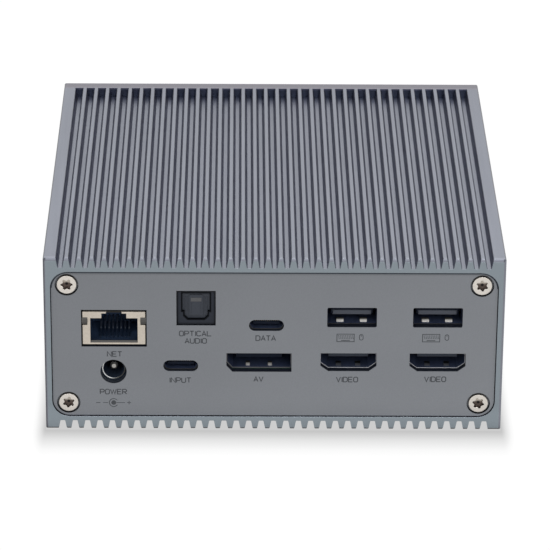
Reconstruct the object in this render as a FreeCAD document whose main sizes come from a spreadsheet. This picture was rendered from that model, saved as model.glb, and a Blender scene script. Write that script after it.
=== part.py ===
# Docking station in a finned aluminium extrusion, as a parametric document.
# Millimetres, +Z up, origin in the middle of the footprint. The port panel faces -Y.
import FreeCAD, Part
import functools
import math
import os
import re

import Sketcher
from FreeCAD import Placement, Rotation, Vector

# Driving sizes, one spreadsheet cell each.
SIZES = {
    # Extruded housing
    "housing_width": 116.0,
    "housing_depth": 120.7,
    "housing_height": 47.6,
    "side_wall": 1.7,
    "web": 1.1,
    "cavity_corner": 4.5,
    "groove_depth": 2.5,
    "groove_pitch": 3.16,
    "groove_mouth": 2.1,
    "groove_base": 1.25,
    "groove_root": 0.15,
    "fin_tip": 0.12,
    "edge_land": 4.2,
    "end_bevel": 0.6,
    "edge_cut": 0.3,
    # Screw bosses and board rails inside the extrusion
    "screw_inset_side": 4.15,
    "screw_inset_top": 3.75,
    "boss_reach": 2.6,
    "boss_cut": 1.2,
    "boss_hole": 3.0,
    "boss_hole_depth": 9.0,
    "rail_reach": 2.0,
    "rail_thickness": 1.2,
    "rail_gap": 0.12,
    # Rear panel and its screws
    "panel_thickness": 2.0,
    "panel_inset": 0.45,
    "panel_gap": 0.2,
    "port_gap": 0.2,
    "hole_gap": 0.1,
    "slim_hole_gap": 0.24,
    "flat_hole_gap": 0.15,
    "slim_recess": 1.0,
    "slim_recess_gap": 0.25,
    "screw_clearance": 3.3,
    "screw_bore": 5.95,
    "screw_head": 4.87,
    "screw_head_height": 1.2,
    "screw_shank": 2.9,
    "screw_length": 7.0,
    "socket_tip": 3.0,
    "socket_root": 2.2,
    "socket_depth": 0.8,
    # Front panel
    "front_thickness": 4.1,
    "front_skin": 1.6,
    "rim_wall": 1.5,
    "rim_gap": 0.15,
    "rim_depth": 3.0,
    "rim_boss_gap": 1.0,
    # Boards: their tops stand at a share of the inside height
    "board_thickness": 1.6,
    "board_gap": 0.3,
    "lower_board_share": 0.3116,
    "upper_board_share": 0.593,
    # Places of the ports across the panel, as shares of half its width
    "network_share": -0.7203,
    "optical_share": -0.3512,
    "data_share": -0.0348,
    "left_flat_share": 0.3494,
    "right_flat_share": 0.735,
    "power_share": -0.7246,
    "host_share": -0.4209,
    "monitor_share": -0.0677,
    "left_video_share": 0.3367,
    "right_video_share": 0.739,
    "front_flat_share": 0.36,
    "front_slim_share": 0.02,
    "front_audio_share": -0.3,
    # Metal shells and moulded inserts of the ports
    "shell_wall": 0.3,
    "insert_fit": 0.05,
    "insert_back": 1.2,
    # Slim reversible port
    "slim_width": 8.34,
    "slim_height": 2.56,
    "slim_length": 8.0,
    "slim_plug_depth": 5.8,
    "slim_tongue_width": 6.69,
    "slim_tongue": 0.7,
    "slim_tongue_inset": 0.6,
    # Flat data port
    "flat_width": 12.5,
    "flat_height": 5.12,
    "flat_corner": 0.4,
    "flat_length": 13.5,
    "flat_plug_depth": 10.5,
    "flat_stand": 1.0,
    "flat_tongue_width": 10.6,
    "flat_tongue": 1.84,
    "flat_tongue_drop": 0.86,
    "flat_tongue_inset": 0.8,
    "flat_spring_width": 1.75,
    "flat_spring_spacing": 5.9,
    # Video port, both lower corners cut
    "video_width": 14.0,
    "video_height": 4.82,
    "video_cut_across": 1.9,
    "video_cut_up": 1.45,
    "video_length": 11.0,
    "video_plug_depth": 8.6,
    "video_tongue_width": 10.1,
    "video_tongue": 1.05,
    "video_tongue_drop": 1.0,
    "video_tongue_inset": 0.6,
    "video_spring_width": 1.3,
    "video_spring_spacing": 4.9,
    # Monitor port, one lower corner cut
    "monitor_width": 16.1,
    "monitor_height": 4.8,
    "monitor_hole_gap": 0.2,
    "monitor_hole_drop": 0.15,
    "monitor_cut_across": 1.4,
    "monitor_cut_up": 1.6,
    "monitor_length": 12.0,
    "monitor_plug_depth": 9.4,
    "monitor_tongue_width": 11.6,
    "monitor_tongue": 0.95,
    "monitor_tongue_drop": 1.9,
    "monitor_tongue_inset": 1.6,
    "monitor_spring_width": 1.1,
    "monitor_spring_spacing": 5.6,
    "spring_inset": 0.7,
    "spring_length": 2.6,
    "spring_rise": 0.4,
    # Network jack
    "network_width": 15.77,
    "network_height": 9.03,
    "network_length": 16.0,
    "network_rise": 0.65,
    "network_inset": 0.2,
    "network_side_gap": 0.36,
    "network_hole_gap": 0.6,
    "network_plug_depth": 12.5,
    "plug_width": 11.93,
    "plug_sill": 0.45,
    "plug_height": 6.8,
    "latch_width": 6.29,
    "latch_height": 1.3,
    "key_width": 4.0,
    "tab_width": 1.2,
    "tab_height": 2.1,
    "tab_rise": 1.9,
    "contact_count": 8,
    "contact_pitch": 1.02,
    "contact_width": 0.45,
    "contact_thickness": 0.3,
    "contact_inset": 3.0,
    "contact_rise": 1.9,
    "ear_reach": 1.8,
    "ear_thickness": 0.4,
    "ear_start": 5.0,
    "ear_length": 5.0,
    # Optical jack and its shutter
    "optical_width": 9.6,
    "optical_height": 9.3,
    "optical_length": 14.0,
    "optical_rise": 6.32,
    "optical_inset": 0.5,
    "optical_hole_gap": 0.14,
    "optical_lid": 0.6,
    "optical_foot_start": 2.0,
    "optical_upper_width": 7.3,
    "optical_lower_width": 6.24,
    "optical_step": 5.2,
    "optical_drop": 7.4,
    "optical_corner": 1.0,
    "optical_plug_depth": 9.2,
    "shutter_inset": 0.6,
    "shutter_thickness": 1.0,
    "shutter_gap": 0.2,
    "hinge_drop": 0.75,
    "hinge_pin": 0.8,
    "hinge_pin_reach": 0.7,
    "hinge_pin_gap": 0.05,
    "shutter_rib_width": 3.4,
    "shutter_rib_height": 0.25,
    "emitter_width": 6.2,
    "emitter_length": 3.0,
    "emitter_lens": 2.3,
    "emitter_lens_length": 1.1,
    "emitter_gap": 0.1,
    # Power jack
    "power_hole": 6.65,
    "power_width": 9.0,
    "power_above": 4.4,
    "power_below": 4.6,
    "power_length": 13.5,
    "power_drop": 0.1,
    "power_nose": 6.2,
    "power_nose_inset": 2.0,
    "power_bore": 5.2,
    "power_bore_depth": 9.5,
    "power_pin": 2.0,
    "power_pin_inset": 1.1,
    "power_pin_tip": 0.45,
    "power_pin_tail": 0.8,
    "power_pin_gap": 0.05,
    # Audio jack
    "audio_width": 6.6,
    "audio_height": 5.6,
    "audio_length": 12.5,
    "audio_bore": 3.6,
    "audio_bore_depth": 12.0,
    "audio_nose": 5.2,
    "audio_nose_gap": 0.2,
    # Pieces on the boards
    "stack_width": 30.0,
    "stack_depth": 5.6,
    "stack_place": 12.0,
    "stack_blade": 1.6,
    "stack_blade_reach": 2.2,
    "stack_blade_gap": 0.2,
    "chip_width": 15.0,
    "chip_height": 1.2,
    "pad_height": 1.0,
    "block_width": 44.0,
    "block_depth": 38.0,
    "inductor_width": 7.2,
    "inductor_height": 4.2,
    "inductor_pitch": 10.0,
    "inductor_place_y": -22.0,
    "capacitor_width": 6.3,
    "capacitor_seat": 0.9,
    "capacitor_headroom": 2.0,
    "capacitor_pitch": 8.5,
    "capacitor_shift": 3.4,
    "capacitor_place_y": -24.0,
    "transformer_width": 15.0,
    "transformer_depth": 9.5,
    "transformer_height": 5.6,
    "transformer_gap": 3.0,
}

# Formulas worked out from the driving sizes.
DERIVED = {
    "cavity_half": "housing_width / 2 - side_wall",
    "cavity_floor": "groove_depth + web",
    "cavity_ceiling": "housing_height - groove_depth - web",
    "cavity_height": "cavity_ceiling - cavity_floor",
    "rear_end": "-housing_depth / 2",
    "front_end": "housing_depth / 2",
    "groove_count": "floor((housing_width - 2 * edge_land) / groove_pitch) + 1",
    "groove_first": "-(groove_count - 1) * groove_pitch / 2",
    "screw_x": "cavity_half - screw_inset_side",
    "screw_low": "cavity_floor + screw_inset_top",
    "screw_high": "cavity_ceiling - screw_inset_top",
    "boss_x": "screw_x - boss_reach",
    "panel_half": "cavity_half - panel_gap",
    "panel_face": "rear_end + panel_inset",
    "panel_back": "panel_face + panel_thickness",
    "port_front": "panel_back + port_gap",
    "slim_front": "panel_back - slim_recess + port_gap",
    "housing_front": "front_end - front_thickness",
    "front_inside": "front_end - front_skin",
    "front_port": "front_inside - port_gap",
    "lower_top": "cavity_floor + lower_board_share * cavity_height",
    "upper_top": "cavity_floor + upper_board_share * cavity_height",
    "lower_bottom": "lower_top - board_thickness",
    "upper_bottom": "upper_top - board_thickness",
    "board_space": "upper_bottom - lower_top",
    "board_half": "cavity_half - board_gap",
    "board_rear": "panel_back + board_gap",
    "board_front": "housing_front - board_gap",
    "slim_rise": "slim_height / 2 + shell_wall",
    "flat_rise": "flat_stand + flat_height / 2 + shell_wall",
    "video_rise": "video_height / 2 + shell_wall",
    "monitor_rise": "monitor_height / 2 + shell_wall",
    "network_x": "network_share * panel_half",
    "network_z": "upper_top + network_rise",
    "network_y": "panel_face + network_inset",
    "optical_x": "optical_share * panel_half",
    "optical_z": "upper_top + optical_rise",
    "optical_y": "panel_face + optical_inset",
    "optical_top": "optical_height / 2 - optical_lid",
    "hinge_y": "shutter_inset + shutter_thickness / 2",
    "hinge_z": "optical_top - hinge_drop",
    "power_x": "power_share * panel_half",
    "power_z": "lower_top - power_drop",
    "plug_floor": "-network_height / 2 + plug_sill",
    "stack_joint": "lower_top + board_space / 2",
    "block_top": "lower_bottom - chip_height - pad_height",
}

# Tangent of an eighth turn: how far a 45 degree corner moves along its sides when an outline grows.
EIGHTH = "0.41421"
SOCKET_LOBES = 6
SOCKET_TURNS = (8, 31, 47, 20)

doc = FreeCAD.newDocument("docking_station")
sheet = doc.addObject("Spreadsheet::Sheet", "sizes")
for row, (name, size) in enumerate(SIZES.items(), 1):
    sheet.set(f"A{row}", name)
    sheet.set(f"B{row}", str(size))
    sheet.setAlias(f"B{row}", name)
doc.recompute()
reader = doc.addObject("App::FeaturePython", "reader")
pieces = []


@functools.cache
def formula(text):
    """Write a formula of named sizes as an expression on the sheet."""
    def swap(match):
        name = match.group(0)
        if name in DERIVED:
            return f"({formula(DERIVED[name])})"
        return f"sizes.{name}" if name in SIZES else name
    return re.sub(r"[A-Za-z_]\w*", swap, text)


@functools.cache
def value(text):
    return float(reader.evalExpression(formula(text)))


# Outlines

def fix(sketch, kind, target, text):
    """Add one dimension to a sketch and bind it to a formula."""
    index = sketch.addConstraint(Sketcher.Constraint(kind, *target, value(text)))
    sketch.setExpression(f"Constraints[{index}]", formula(text))


def fix_point(sketch, geometry, end, x, y):
    fix(sketch, "DistanceX", (geometry, end), x)
    fix(sketch, "DistanceY", (geometry, end), y)


def round_corner(sketch, before, after, corner, point, towards_before, towards_after):
    """Round the corner between two lines, which still meet at a construction point."""
    radius = value(corner[2])
    half = towards_before.getAngle(towards_after) / 2
    bisector = (towards_before + towards_after).normalize()
    centre = point + bisector * (radius / math.sin(half))
    reach = radius / math.tan(half)
    ends = [point + towards_before * reach, point + towards_after * reach]
    left_turn = towards_before.cross(towards_after).z < 0
    start, stop = ends if left_turn else reversed(ends)
    angles = [math.atan2(end.y - centre.y, end.x - centre.x) for end in (start, stop)]
    arc = sketch.addGeometry(Part.ArcOfCircle(Part.Circle(centre, Vector(0, 0, 1), radius), *angles))
    first, last = (1, 2) if left_turn else (2, 1)
    sketch.addConstraint(Sketcher.Constraint("Tangent", before, 2, arc, first))
    sketch.addConstraint(Sketcher.Constraint("Tangent", after, 1, arc, last))
    fix(sketch, "Radius", (arc,), corner[2])
    mark = sketch.addGeometry(Part.Point(point), True)
    sketch.addConstraint(Sketcher.Constraint("PointOnObject", mark, 1, before))
    sketch.addConstraint(Sketcher.Constraint("PointOnObject", mark, 1, after))
    fix_point(sketch, mark, 1, corner[0], corner[1])


def polygon(*corners):
    """A closed outline of corners (x, y) or, where rounded, (x, y, radius)."""
    def draw(sketch):
        points = [Vector(value(corner[0]), value(corner[1]), 0) for corner in corners]
        count = len(corners)
        back = [(points[i - 1] - points[i]).normalize() for i in range(count)]
        ahead = [(points[(i + 1) % count] - points[i]).normalize() for i in range(count)]
        trims = []
        for i, corner in enumerate(corners):
            rounded = len(corner) > 2
            trims.append(value(corner[2]) / math.tan(back[i].getAngle(ahead[i]) / 2) if rounded else 0)
        lines = []
        for i in range(count):
            nxt = (i + 1) % count
            ends = points[i] + ahead[i] * trims[i], points[nxt] + back[nxt] * trims[nxt]
            lines.append(sketch.addGeometry(Part.LineSegment(*ends)))
        for i, corner in enumerate(corners):
            before, after = lines[i - 1], lines[i]
            if len(corner) > 2:
                round_corner(sketch, before, after, corner, points[i], back[i], ahead[i])
            else:
                sketch.addConstraint(Sketcher.Constraint("Coincident", before, 2, after, 1))
                fix_point(sketch, after, 1, corner[0], corner[1])
    return draw


def rectangle(left, right, low, high, radius=None):
    corners = [(left, low), (right, low), (right, high), (left, high)]
    return polygon(*[corner + ((radius,) if radius else ()) for corner in corners])


def centred(width, height, x="0", y="0", radius=None):
    """A rectangle by its full width and height about a middle point."""
    sides = f"{x} - ({width}) / 2", f"{x} + ({width}) / 2"
    return rectangle(*sides, f"{y} - ({height}) / 2", f"{y} + ({height}) / 2", radius)


def circle(diameter, x="0", y="0"):
    def draw(sketch):
        ring = Part.Circle(Vector(value(x), value(y), 0), Vector(0, 0, 1), value(diameter) / 2)
        index = sketch.addGeometry(ring)
        fix(sketch, "Diameter", (index,), diameter)
        fix_point(sketch, index, 3, x, y)
    return draw


def slot(width, height, x="0", y="0"):
    """A slot with round ends, by its full width and height."""
    def draw(sketch):
        radius = value(height) / 2
        reach = f"(({width}) - ({height})) / 2"
        left, right = f"{x} - {reach}", f"{x} + {reach}"
        near, far, middle = value(left), value(right), value(y)
        top = Part.LineSegment(Vector(far, middle + radius, 0), Vector(near, middle + radius, 0))
        bottom = Part.LineSegment(Vector(near, middle - radius, 0), Vector(far, middle - radius, 0))
        up, down = math.pi / 2, -math.pi / 2
        left_ring = Part.Circle(Vector(near, middle, 0), Vector(0, 0, 1), radius)
        right_ring = Part.Circle(Vector(far, middle, 0), Vector(0, 0, 1), radius)
        top, bottom = sketch.addGeometry(top), sketch.addGeometry(bottom)
        left_arc = sketch.addGeometry(Part.ArcOfCircle(left_ring, up, up + math.pi))
        right_arc = sketch.addGeometry(Part.ArcOfCircle(right_ring, down, up))
        for meeting in ((top, 2, left_arc, 1), (bottom, 1, left_arc, 2),
                        (bottom, 2, right_arc, 1), (top, 1, right_arc, 2)):
            sketch.addConstraint(Sketcher.Constraint("Tangent", *meeting))
        fix_point(sketch, left_arc, 3, left, y)
        fix_point(sketch, right_arc, 3, right, y)
        for arc in (left_arc, right_arc):
            fix(sketch, "Radius", (arc,), f"({height}) / 2")
    return draw


def star(tip, root, x, y, turn):
    """A six-pointed socket with flat tips and roots, by its two diameters and its turn in degrees."""
    corners = []
    for step in range(4 * SOCKET_LOBES):
        angle = math.radians(turn + 360 / (4 * SOCKET_LOBES) * (step + 0.5))
        reach = f"{tip if step % 4 < 2 else root} / 2"
        corners.append((f"{x} + {reach} * {math.cos(angle):.5f}", f"{y} + {reach} * {math.sin(angle):.5f}"))
    return polygon(*corners)


def cut_corner(kind, grow, both, x="0", y="0"):
    """Opening of a video or monitor port, with cut lower corners, grown on all sides."""
    across, up = f"{kind}_cut_across", f"{kind}_cut_up"
    slant = f"sqrt({across} * {across} + {up} * {up})"
    side = f"({kind}_width / 2 + {grow})"
    top = f"({kind}_height / 2 + {grow})"
    shoulder = f"({kind}_height / 2 - {up} + ({grow}) * ({slant} - {up}) / {across})"
    foot = f"({kind}_width / 2 - {across} + ({grow}) * ({slant} - {across}) / {up})"
    right = [(foot, f"-{top}"), (side, f"-{shoulder}")] if both else [(side, f"-{top}")]
    corners = [(f"-{side}", top), (f"-{side}", f"-{shoulder}"), (f"-{foot}", f"-{top}"), *right, (side, top)]
    return polygon(*[(f"{x} + {px}", f"{y} + {py}") for px, py in corners])


def optical_profile(grow, top="optical_top"):
    """Mouth of the optical jack: wide above, stepped in below, with cut lower corners."""
    wide = f"(optical_upper_width / 2 + {grow})"
    narrow = f"(optical_lower_width / 2 + {grow})"
    ledge = f"optical_top - optical_step - ({grow})"
    base = f"optical_top - optical_drop - ({grow})"
    cut = f"(optical_corner - ({grow}) * {EIGHTH})"
    cut_top = f"optical_top - optical_drop + {cut}"
    cut_side = f"(optical_lower_width / 2 - {cut})"
    return polygon(
        (f"-{wide}", top), (f"-{wide}", ledge), (f"-{narrow}", ledge), (f"-{narrow}", cut_top),
        (f"-{cut_side}", base), (cut_side, base), (narrow, cut_top), (narrow, ledge),
        (wide, ledge), (wide, top))


def plug_profile(ceiling):
    """Mouth of the network jack: the plug, the latch above it and the key above that."""
    side, latch, key = "plug_width / 2", "latch_width / 2", "key_width / 2"
    shoulder = "plug_floor + plug_height"
    step = "plug_floor + plug_height + latch_height"
    return polygon(
        (f"-{side}", "plug_floor"), (side, "plug_floor"), (side, shoulder), (latch, shoulder),
        (latch, step), (key, step), (key, ceiling), (f"-{key}", ceiling),
        (f"-{key}", step), (f"-{latch}", step), (f"-{latch}", shoulder), (f"-{side}", shoulder))


# Sketch planes of a body, with the sign of the plane's normal along its axis.
PLANES = {"XY_Plane": 1, "YZ_Plane": 1, "XZ_Plane": -1}


class Piece:
    """One sub-part: a body built from sketches on its own origin planes."""

    def __init__(self, label):
        self.body = doc.addObject("PartDesign::Body", label)
        self.body.Label = label
        pieces.append(self.body)

    def origin(self, role):
        return next(item for item in self.body.Origin.OriginFeatures if item.Role == role)

    def sketch(self, plane, start, outlines):
        sketch = self.body.newObject("Sketcher::SketchObject", "sketch")
        sketch.AttachmentSupport = [(self.origin(plane), "")]
        sketch.MapMode = "FlatFace"
        sign = "" if PLANES[plane] > 0 else "-"
        sketch.setExpression("AttachmentOffset.Base.z", f"{sign}({formula(start)})")
        for draw in outlines:
            draw(sketch)
        return sketch

    def extrude(self, kind, flip, plane, start, length, outlines):
        feature = self.body.newObject(f"PartDesign::{kind}", kind.lower())
        feature.Profile = self.sketch(plane, start, outlines)
        feature.setExpression("Length", formula(length))
        feature.Reversed = flip
        self.body.Tip = feature
        return feature

    def pad(self, plane, start, length, *outlines):
        """Add outlines from start, towards the axis' positive end."""
        return self.extrude("Pad", PLANES[plane] < 0, plane, start, length, outlines)

    def cut(self, plane, start, length, *outlines):
        """Cut outlines from start, towards the axis' positive end."""
        return self.extrude("Pocket", PLANES[plane] > 0, plane, start, length, outlines)

    def repeat(self, feature, length, count):
        """Repeat a feature along X."""
        pattern = self.body.newObject("PartDesign::LinearPattern", "row")
        pattern.Originals = [feature]
        pattern.Direction = (self.origin("X_Axis"), [""])
        pattern.setExpression("Length", formula(length))
        pattern.setExpression("Occurrences", formula(count))
        self.body.Tip = pattern

    def revolve(self, plane, outline):
        """Turn an outline about its sketch's horizontal axis."""
        sketch = self.sketch(plane, "0", [outline])
        feature = self.body.newObject("PartDesign::Revolution", "turned")
        feature.Profile = sketch
        feature.ReferenceAxis = (sketch, ["H_Axis"])
        self.body.Tip = feature

    def place(self, x, y, z, turned=False):
        """Move the piece to its port; turned faces it to the front."""
        self.body.Placement = Placement(Vector(), Rotation(Vector(0, 0, 1), 180 if turned else 0))
        for axis, text in zip("xyz", (x, y, z)):
            self.body.setExpression(f"Placement.Base.{axis}", formula(text))
        return self


# Enclosure

def cavity_outline(inset):
    side = f"cavity_half - {inset}"
    return rectangle(f"-({side})", side, f"cavity_floor + {inset}", f"cavity_ceiling - {inset}",
                     f"cavity_corner - {inset}")


def section():
    """Full outer section of the housing, with its four long edges cut."""
    side, inner = "housing_width / 2", "(housing_width / 2 - edge_cut)"
    low, high = "edge_cut", "housing_height - edge_cut"
    return polygon(
        (f"-{inner}", "0"), (inner, "0"), (side, low), (side, high),
        (inner, "housing_height"), (f"-{inner}", "housing_height"), (f"-{side}", high), (f"-{side}", low))


def groove(edge, inward):
    """One tapered groove with cut root corners and relieved fin tips, from the top or the bottom edge."""
    mouth, base = "groove_mouth / 2", "groove_base / 2"
    tip = f"{edge} {inward} fin_tip"
    wall_end = f"{edge} {inward} (groove_depth - groove_root)"
    root = f"{edge} {inward} groove_depth"
    half = [(f"{mouth} + fin_tip", edge), (mouth, tip), (base, wall_end), (f"{base} - groove_root", root)]
    left = [(f"groove_first - ({across})", height) for across, height in half]
    right = [(f"groove_first + {across}", height) for across, height in reversed(half)]
    return polygon(*left, *right)


def bevel(piece, end, inward):
    """Bevel the four outer edges at one end of a full section."""
    inner = f"{end} {inward} end_bevel"
    half, top = "housing_width / 2", "housing_height"
    piece.cut("YZ_Plane", f"-{half}", "housing_width",
              polygon((end, top), (inner, top), (end, f"{top} - end_bevel")),
              polygon((end, "0"), (inner, "0"), (end, "end_bevel")))
    piece.cut("XY_Plane", "0", "housing_height",
              polygon((half, end), (half, inner), (f"{half} - end_bevel", end)),
              polygon((f"-{half}", end), (f"-{half}", inner), (f"end_bevel - {half}", end)))


def screw_places():
    return [(f"{side}screw_x", height) for height in ("screw_low", "screw_high") for side in ("-", "")]


def screw_circles(diameter):
    return [circle(diameter, x, z) for x, z in screw_places()]


def bosses():
    """Corner blocks of the extrusion that take the panel screws, cut off towards the cavity."""
    outlines = []
    wall_low, wall_high = "cavity_floor - web / 2", "cavity_ceiling + web / 2"
    for sign in ("-", ""):
        inner, outer = f"{sign}boss_x", f"{sign}(cavity_half + side_wall / 2)"
        for wall, edge, back in ((wall_low, "screw_low + boss_reach", "-"),
                                 (wall_high, "screw_high - boss_reach", "+")):
            outlines.append(polygon((outer, wall), (inner, wall), (inner, f"{edge} {back} boss_cut"),
                                    (f"{sign}(boss_x + boss_cut)", edge), (outer, edge)))
    return outlines


def rails():
    """Pairs of ribs on the side walls that hold the edges of both boards."""
    outlines = []
    for low, high in (("lower_bottom", "lower_top"), ("upper_bottom", "upper_top")):
        ribs = ((f"{low} - rail_gap - rail_thickness", f"{low} - rail_gap"),
                (f"{high} + rail_gap", f"{high} + rail_gap + rail_thickness"))
        for rib in ribs:
            outlines.append(rectangle("cavity_half - rail_reach", "cavity_half + side_wall / 2", *rib))
            outlines.append(rectangle("-cavity_half - side_wall / 2", "rail_reach - cavity_half", *rib))
    return outlines


def build_housing():
    housing = Piece("finned_housing")
    length = "housing_front - rear_end"
    housing.pad("XZ_Plane", "rear_end", length, section())
    row = housing.cut("XZ_Plane", "rear_end", length, groove("housing_height", "-"), groove("0", "+"))
    housing.repeat(row, "(groove_count - 1) * groove_pitch", "groove_count")
    housing.cut("XZ_Plane", "rear_end", length, cavity_outline("0"))
    housing.pad("XZ_Plane", "panel_back", "housing_front - panel_back", *bosses(), *rails())
    housing.cut("XZ_Plane", "panel_back", "boss_hole_depth", *screw_circles("boss_hole"))
    bevel(housing, "rear_end", "+")


def rear_holes():
    """Cut-outs of the rear panel, in the order of its two rows."""
    upper, lower = "upper_top", "lower_top"
    slim = "slim_width + 2 * slim_hole_gap", "slim_height + 2 * slim_hole_gap"
    flat = "flat_width", "flat_height + 2 * flat_hole_gap"
    optical = "optical_width + 2 * optical_hole_gap", "optical_height + 2 * optical_hole_gap"
    network = "network_width + 2 * network_side_gap", "network_height + 2 * network_hole_gap"
    holes = [
        centred(*network, "network_x", "network_z"),
        centred(*optical, "optical_x", "optical_z"),
        slot(*slim, "data_share * panel_half", f"{upper} + slim_rise"),
        slot(*slim, "host_share * panel_half", f"{lower} + slim_rise"),
        circle("power_hole", "power_x", "power_z"),
        cut_corner("monitor", "monitor_hole_gap", False, "monitor_share * panel_half",
                   f"{lower} + monitor_rise - monitor_hole_drop"),
    ]
    for side in ("left", "right"):
        holes.append(centred(*flat, f"{side}_flat_share * panel_half", f"{upper} + flat_rise", "flat_corner"))
        holes.append(cut_corner("video", "hole_gap", True, f"{side}_video_share * panel_half",
                                f"{lower} + video_rise"))
    return holes


def build_rear_panel():
    panel = Piece("rear_panel")
    panel.pad("XZ_Plane", "panel_face", "panel_thickness", cavity_outline("panel_gap"))
    panel.cut("XZ_Plane", "panel_face", "panel_thickness", *rear_holes())
    panel.cut("XZ_Plane", "panel_face", "panel_thickness", *screw_circles("screw_clearance"))
    panel.cut("XZ_Plane", "panel_face", "screw_head_height", *screw_circles("screw_bore"))
    grown = "2 * (shell_wall + slim_recess_gap)"
    seat = f"slim_width + {grown}", f"slim_height + {grown}"
    seats = [slot(*seat, f"{share} * panel_half", f"{top} + slim_rise")
             for share, top in (("data_share", "upper_top"), ("host_share", "lower_top"))]
    panel.cut("XZ_Plane", "panel_back - slim_recess", "slim_recess", *seats)


def build_rear_screws():
    screws = Piece("rear_panel_screws")
    screws.pad("XZ_Plane", "panel_face", "screw_head_height", *screw_circles("screw_head"))
    screws.pad("XZ_Plane", "panel_face + screw_head_height", "screw_length", *screw_circles("screw_shank"))
    sockets = [star("socket_tip", "socket_root", x, z, turn)
               for (x, z), turn in zip(screw_places(), SOCKET_TURNS)]
    screws.cut("XZ_Plane", "panel_face", "socket_depth", *sockets)


def build_front_panel():
    panel = Piece("front_panel")
    panel.pad("XZ_Plane", "housing_front", "front_thickness", section())
    inset = "(rim_gap + rim_wall)"
    panel.cut("XZ_Plane", "housing_front", "front_thickness - front_skin", cavity_outline(inset))
    reach = "boss_x - rim_boss_gap"
    ribs = [rectangle(f"-({reach})", reach, f"cavity_ceiling - {inset}", "cavity_ceiling - rim_gap"),
            rectangle(f"-({reach})", reach, "cavity_floor + rim_gap", f"cavity_floor + {inset}")]
    panel.pad("XZ_Plane", "housing_front - rim_depth", "rim_depth", *ribs)
    bevel(panel, "front_end", "-")
    slim = "slim_width + 2 * slim_hole_gap", "slim_height + 2 * slim_hole_gap"
    flat = "flat_width", "flat_height + 2 * flat_hole_gap"
    panel.cut("XZ_Plane", "front_inside", "front_skin",
              slot(*slim, "front_slim_share * panel_half", "upper_top + slim_rise"),
              centred(*flat, "front_flat_share * panel_half", "upper_top + flat_rise", "flat_corner"),
              circle("audio_nose + 2 * audio_nose_gap", "front_audio_share * panel_half",
                     "upper_top + audio_height / 2"))


# Boards and what stands on them

def build_board(label, bottom, *cut_outs):
    board = Piece(label)
    outline = rectangle("-board_half", "board_half", "board_rear", "board_front")
    board.pad("XY_Plane", bottom, "board_thickness", outline)
    board.cut("XY_Plane", bottom, "board_thickness", *cut_outs)


def build_boards():
    """Two boards, each cut away round the jack that is sunk into it."""
    power_back = "port_front + power_length + power_pin_tail + board_gap"
    power_side = "(power_width / 2 + board_gap)"
    power_room = f"power_x - {power_side}", f"power_x + {power_side}", "panel_back", power_back
    build_board("lower_board", "lower_bottom", rectangle(*power_room))
    network_back = "network_y + network_length + board_gap"
    network_side = "(network_width / 2 + board_gap)"
    network_room = f"network_x - {network_side}", f"network_x + {network_side}", "panel_back", network_back
    build_board("upper_board", "upper_bottom", rectangle(*network_room))


def build_stacking_connector():
    """A blade on the socket enters a trough in the header."""
    blade_width = "stack_width - 2 * stack_blade"
    outline = centred("stack_width", "stack_depth", "0", "stack_place")
    header = Piece("stacking_header")
    header.pad("XY_Plane", "lower_top", "stack_joint - lower_top", outline)
    trough = centred(f"{blade_width} + 2 * stack_blade_gap", "stack_blade + 2 * stack_blade_gap",
                     "0", "stack_place")
    trough_depth = "(stack_blade_reach + stack_blade_gap)"
    header.cut("XY_Plane", f"stack_joint - {trough_depth}", trough_depth, trough)
    socket = Piece("stacking_socket")
    socket.pad("XY_Plane", "stack_joint", "upper_bottom - stack_joint", outline)
    socket.pad("XY_Plane", "stack_joint - stack_blade_reach", "stack_blade_reach",
               centred(blade_width, "stack_blade", "0", "stack_place"))


def build_heat_path():
    """The hub chip under the lower board, its soft pad and the block that leads to the housing floor."""
    chip = Piece("hub_chip")
    chip.pad("XY_Plane", "lower_bottom - chip_height", "chip_height", centred("chip_width", "chip_width"))
    pad = Piece("chip_thermal_pad")
    pad.pad("XY_Plane", "block_top", "pad_height", centred("chip_width", "chip_width"))
    block = Piece("heat_block")
    block.pad("XY_Plane", "cavity_floor", "block_top - cavity_floor", centred("block_width", "block_depth"))


def build_board_parts():
    inductors = Piece("power_inductors")
    rows = [f"inductor_place_y + {step} * inductor_pitch" for step in range(3)]
    inductors.pad("XY_Plane", "lower_top", "inductor_height",
                  *[centred("inductor_width", "inductor_width", "power_x", y) for y in rows])
    capacitors = Piece("bulk_capacitors")
    column = "host_share * panel_half - capacitor_shift"
    rows = [f"capacitor_place_y + {step} * capacitor_pitch" for step in range(3)]
    capacitors.pad("XY_Plane", "lower_top", "capacitor_seat",
                   *[centred("capacitor_width", "capacitor_width", column, y) for y in rows])
    can = "board_space - capacitor_headroom - capacitor_seat"
    capacitors.pad("XY_Plane", "lower_top + capacitor_seat", can,
                   *[circle("capacitor_width", column, y) for y in rows])
    transformer = Piece("network_transformer")
    middle = "network_y + network_length + transformer_gap + transformer_depth / 2"
    transformer.pad("XY_Plane", "upper_top", "transformer_height",
                    centred("transformer_width", "transformer_depth", "network_x", middle))


# Ports. Each is drawn about the middle of its opening, with its front at y = 0, and then placed.

def add_springs(shell, kind):
    """Two spring tongues on the floor of a shell."""
    floor = f"-{kind}_height / 2"
    sunk = f"{floor} - shell_wall / 2"
    start, crest, end = [f"spring_inset + spring_length * {share}" for share in (0, 0.6, 1)]
    ramp = polygon((start, sunk), (end, sunk), (end, floor),
                   (crest, f"{floor} + spring_rise"), (start, floor))
    for side in ("-", "+"):
        left = f"{side} {kind}_spring_spacing / 2 - {kind}_spring_width / 2"
        shell.pad("YZ_Plane", left, f"{kind}_spring_width", ramp)


def tongue_outline(kind):
    top = f"{kind}_height / 2 - {kind}_tongue_drop"
    return rectangle(f"-{kind}_tongue_width / 2", f"{kind}_tongue_width / 2", f"{top} - {kind}_tongue", top)


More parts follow.
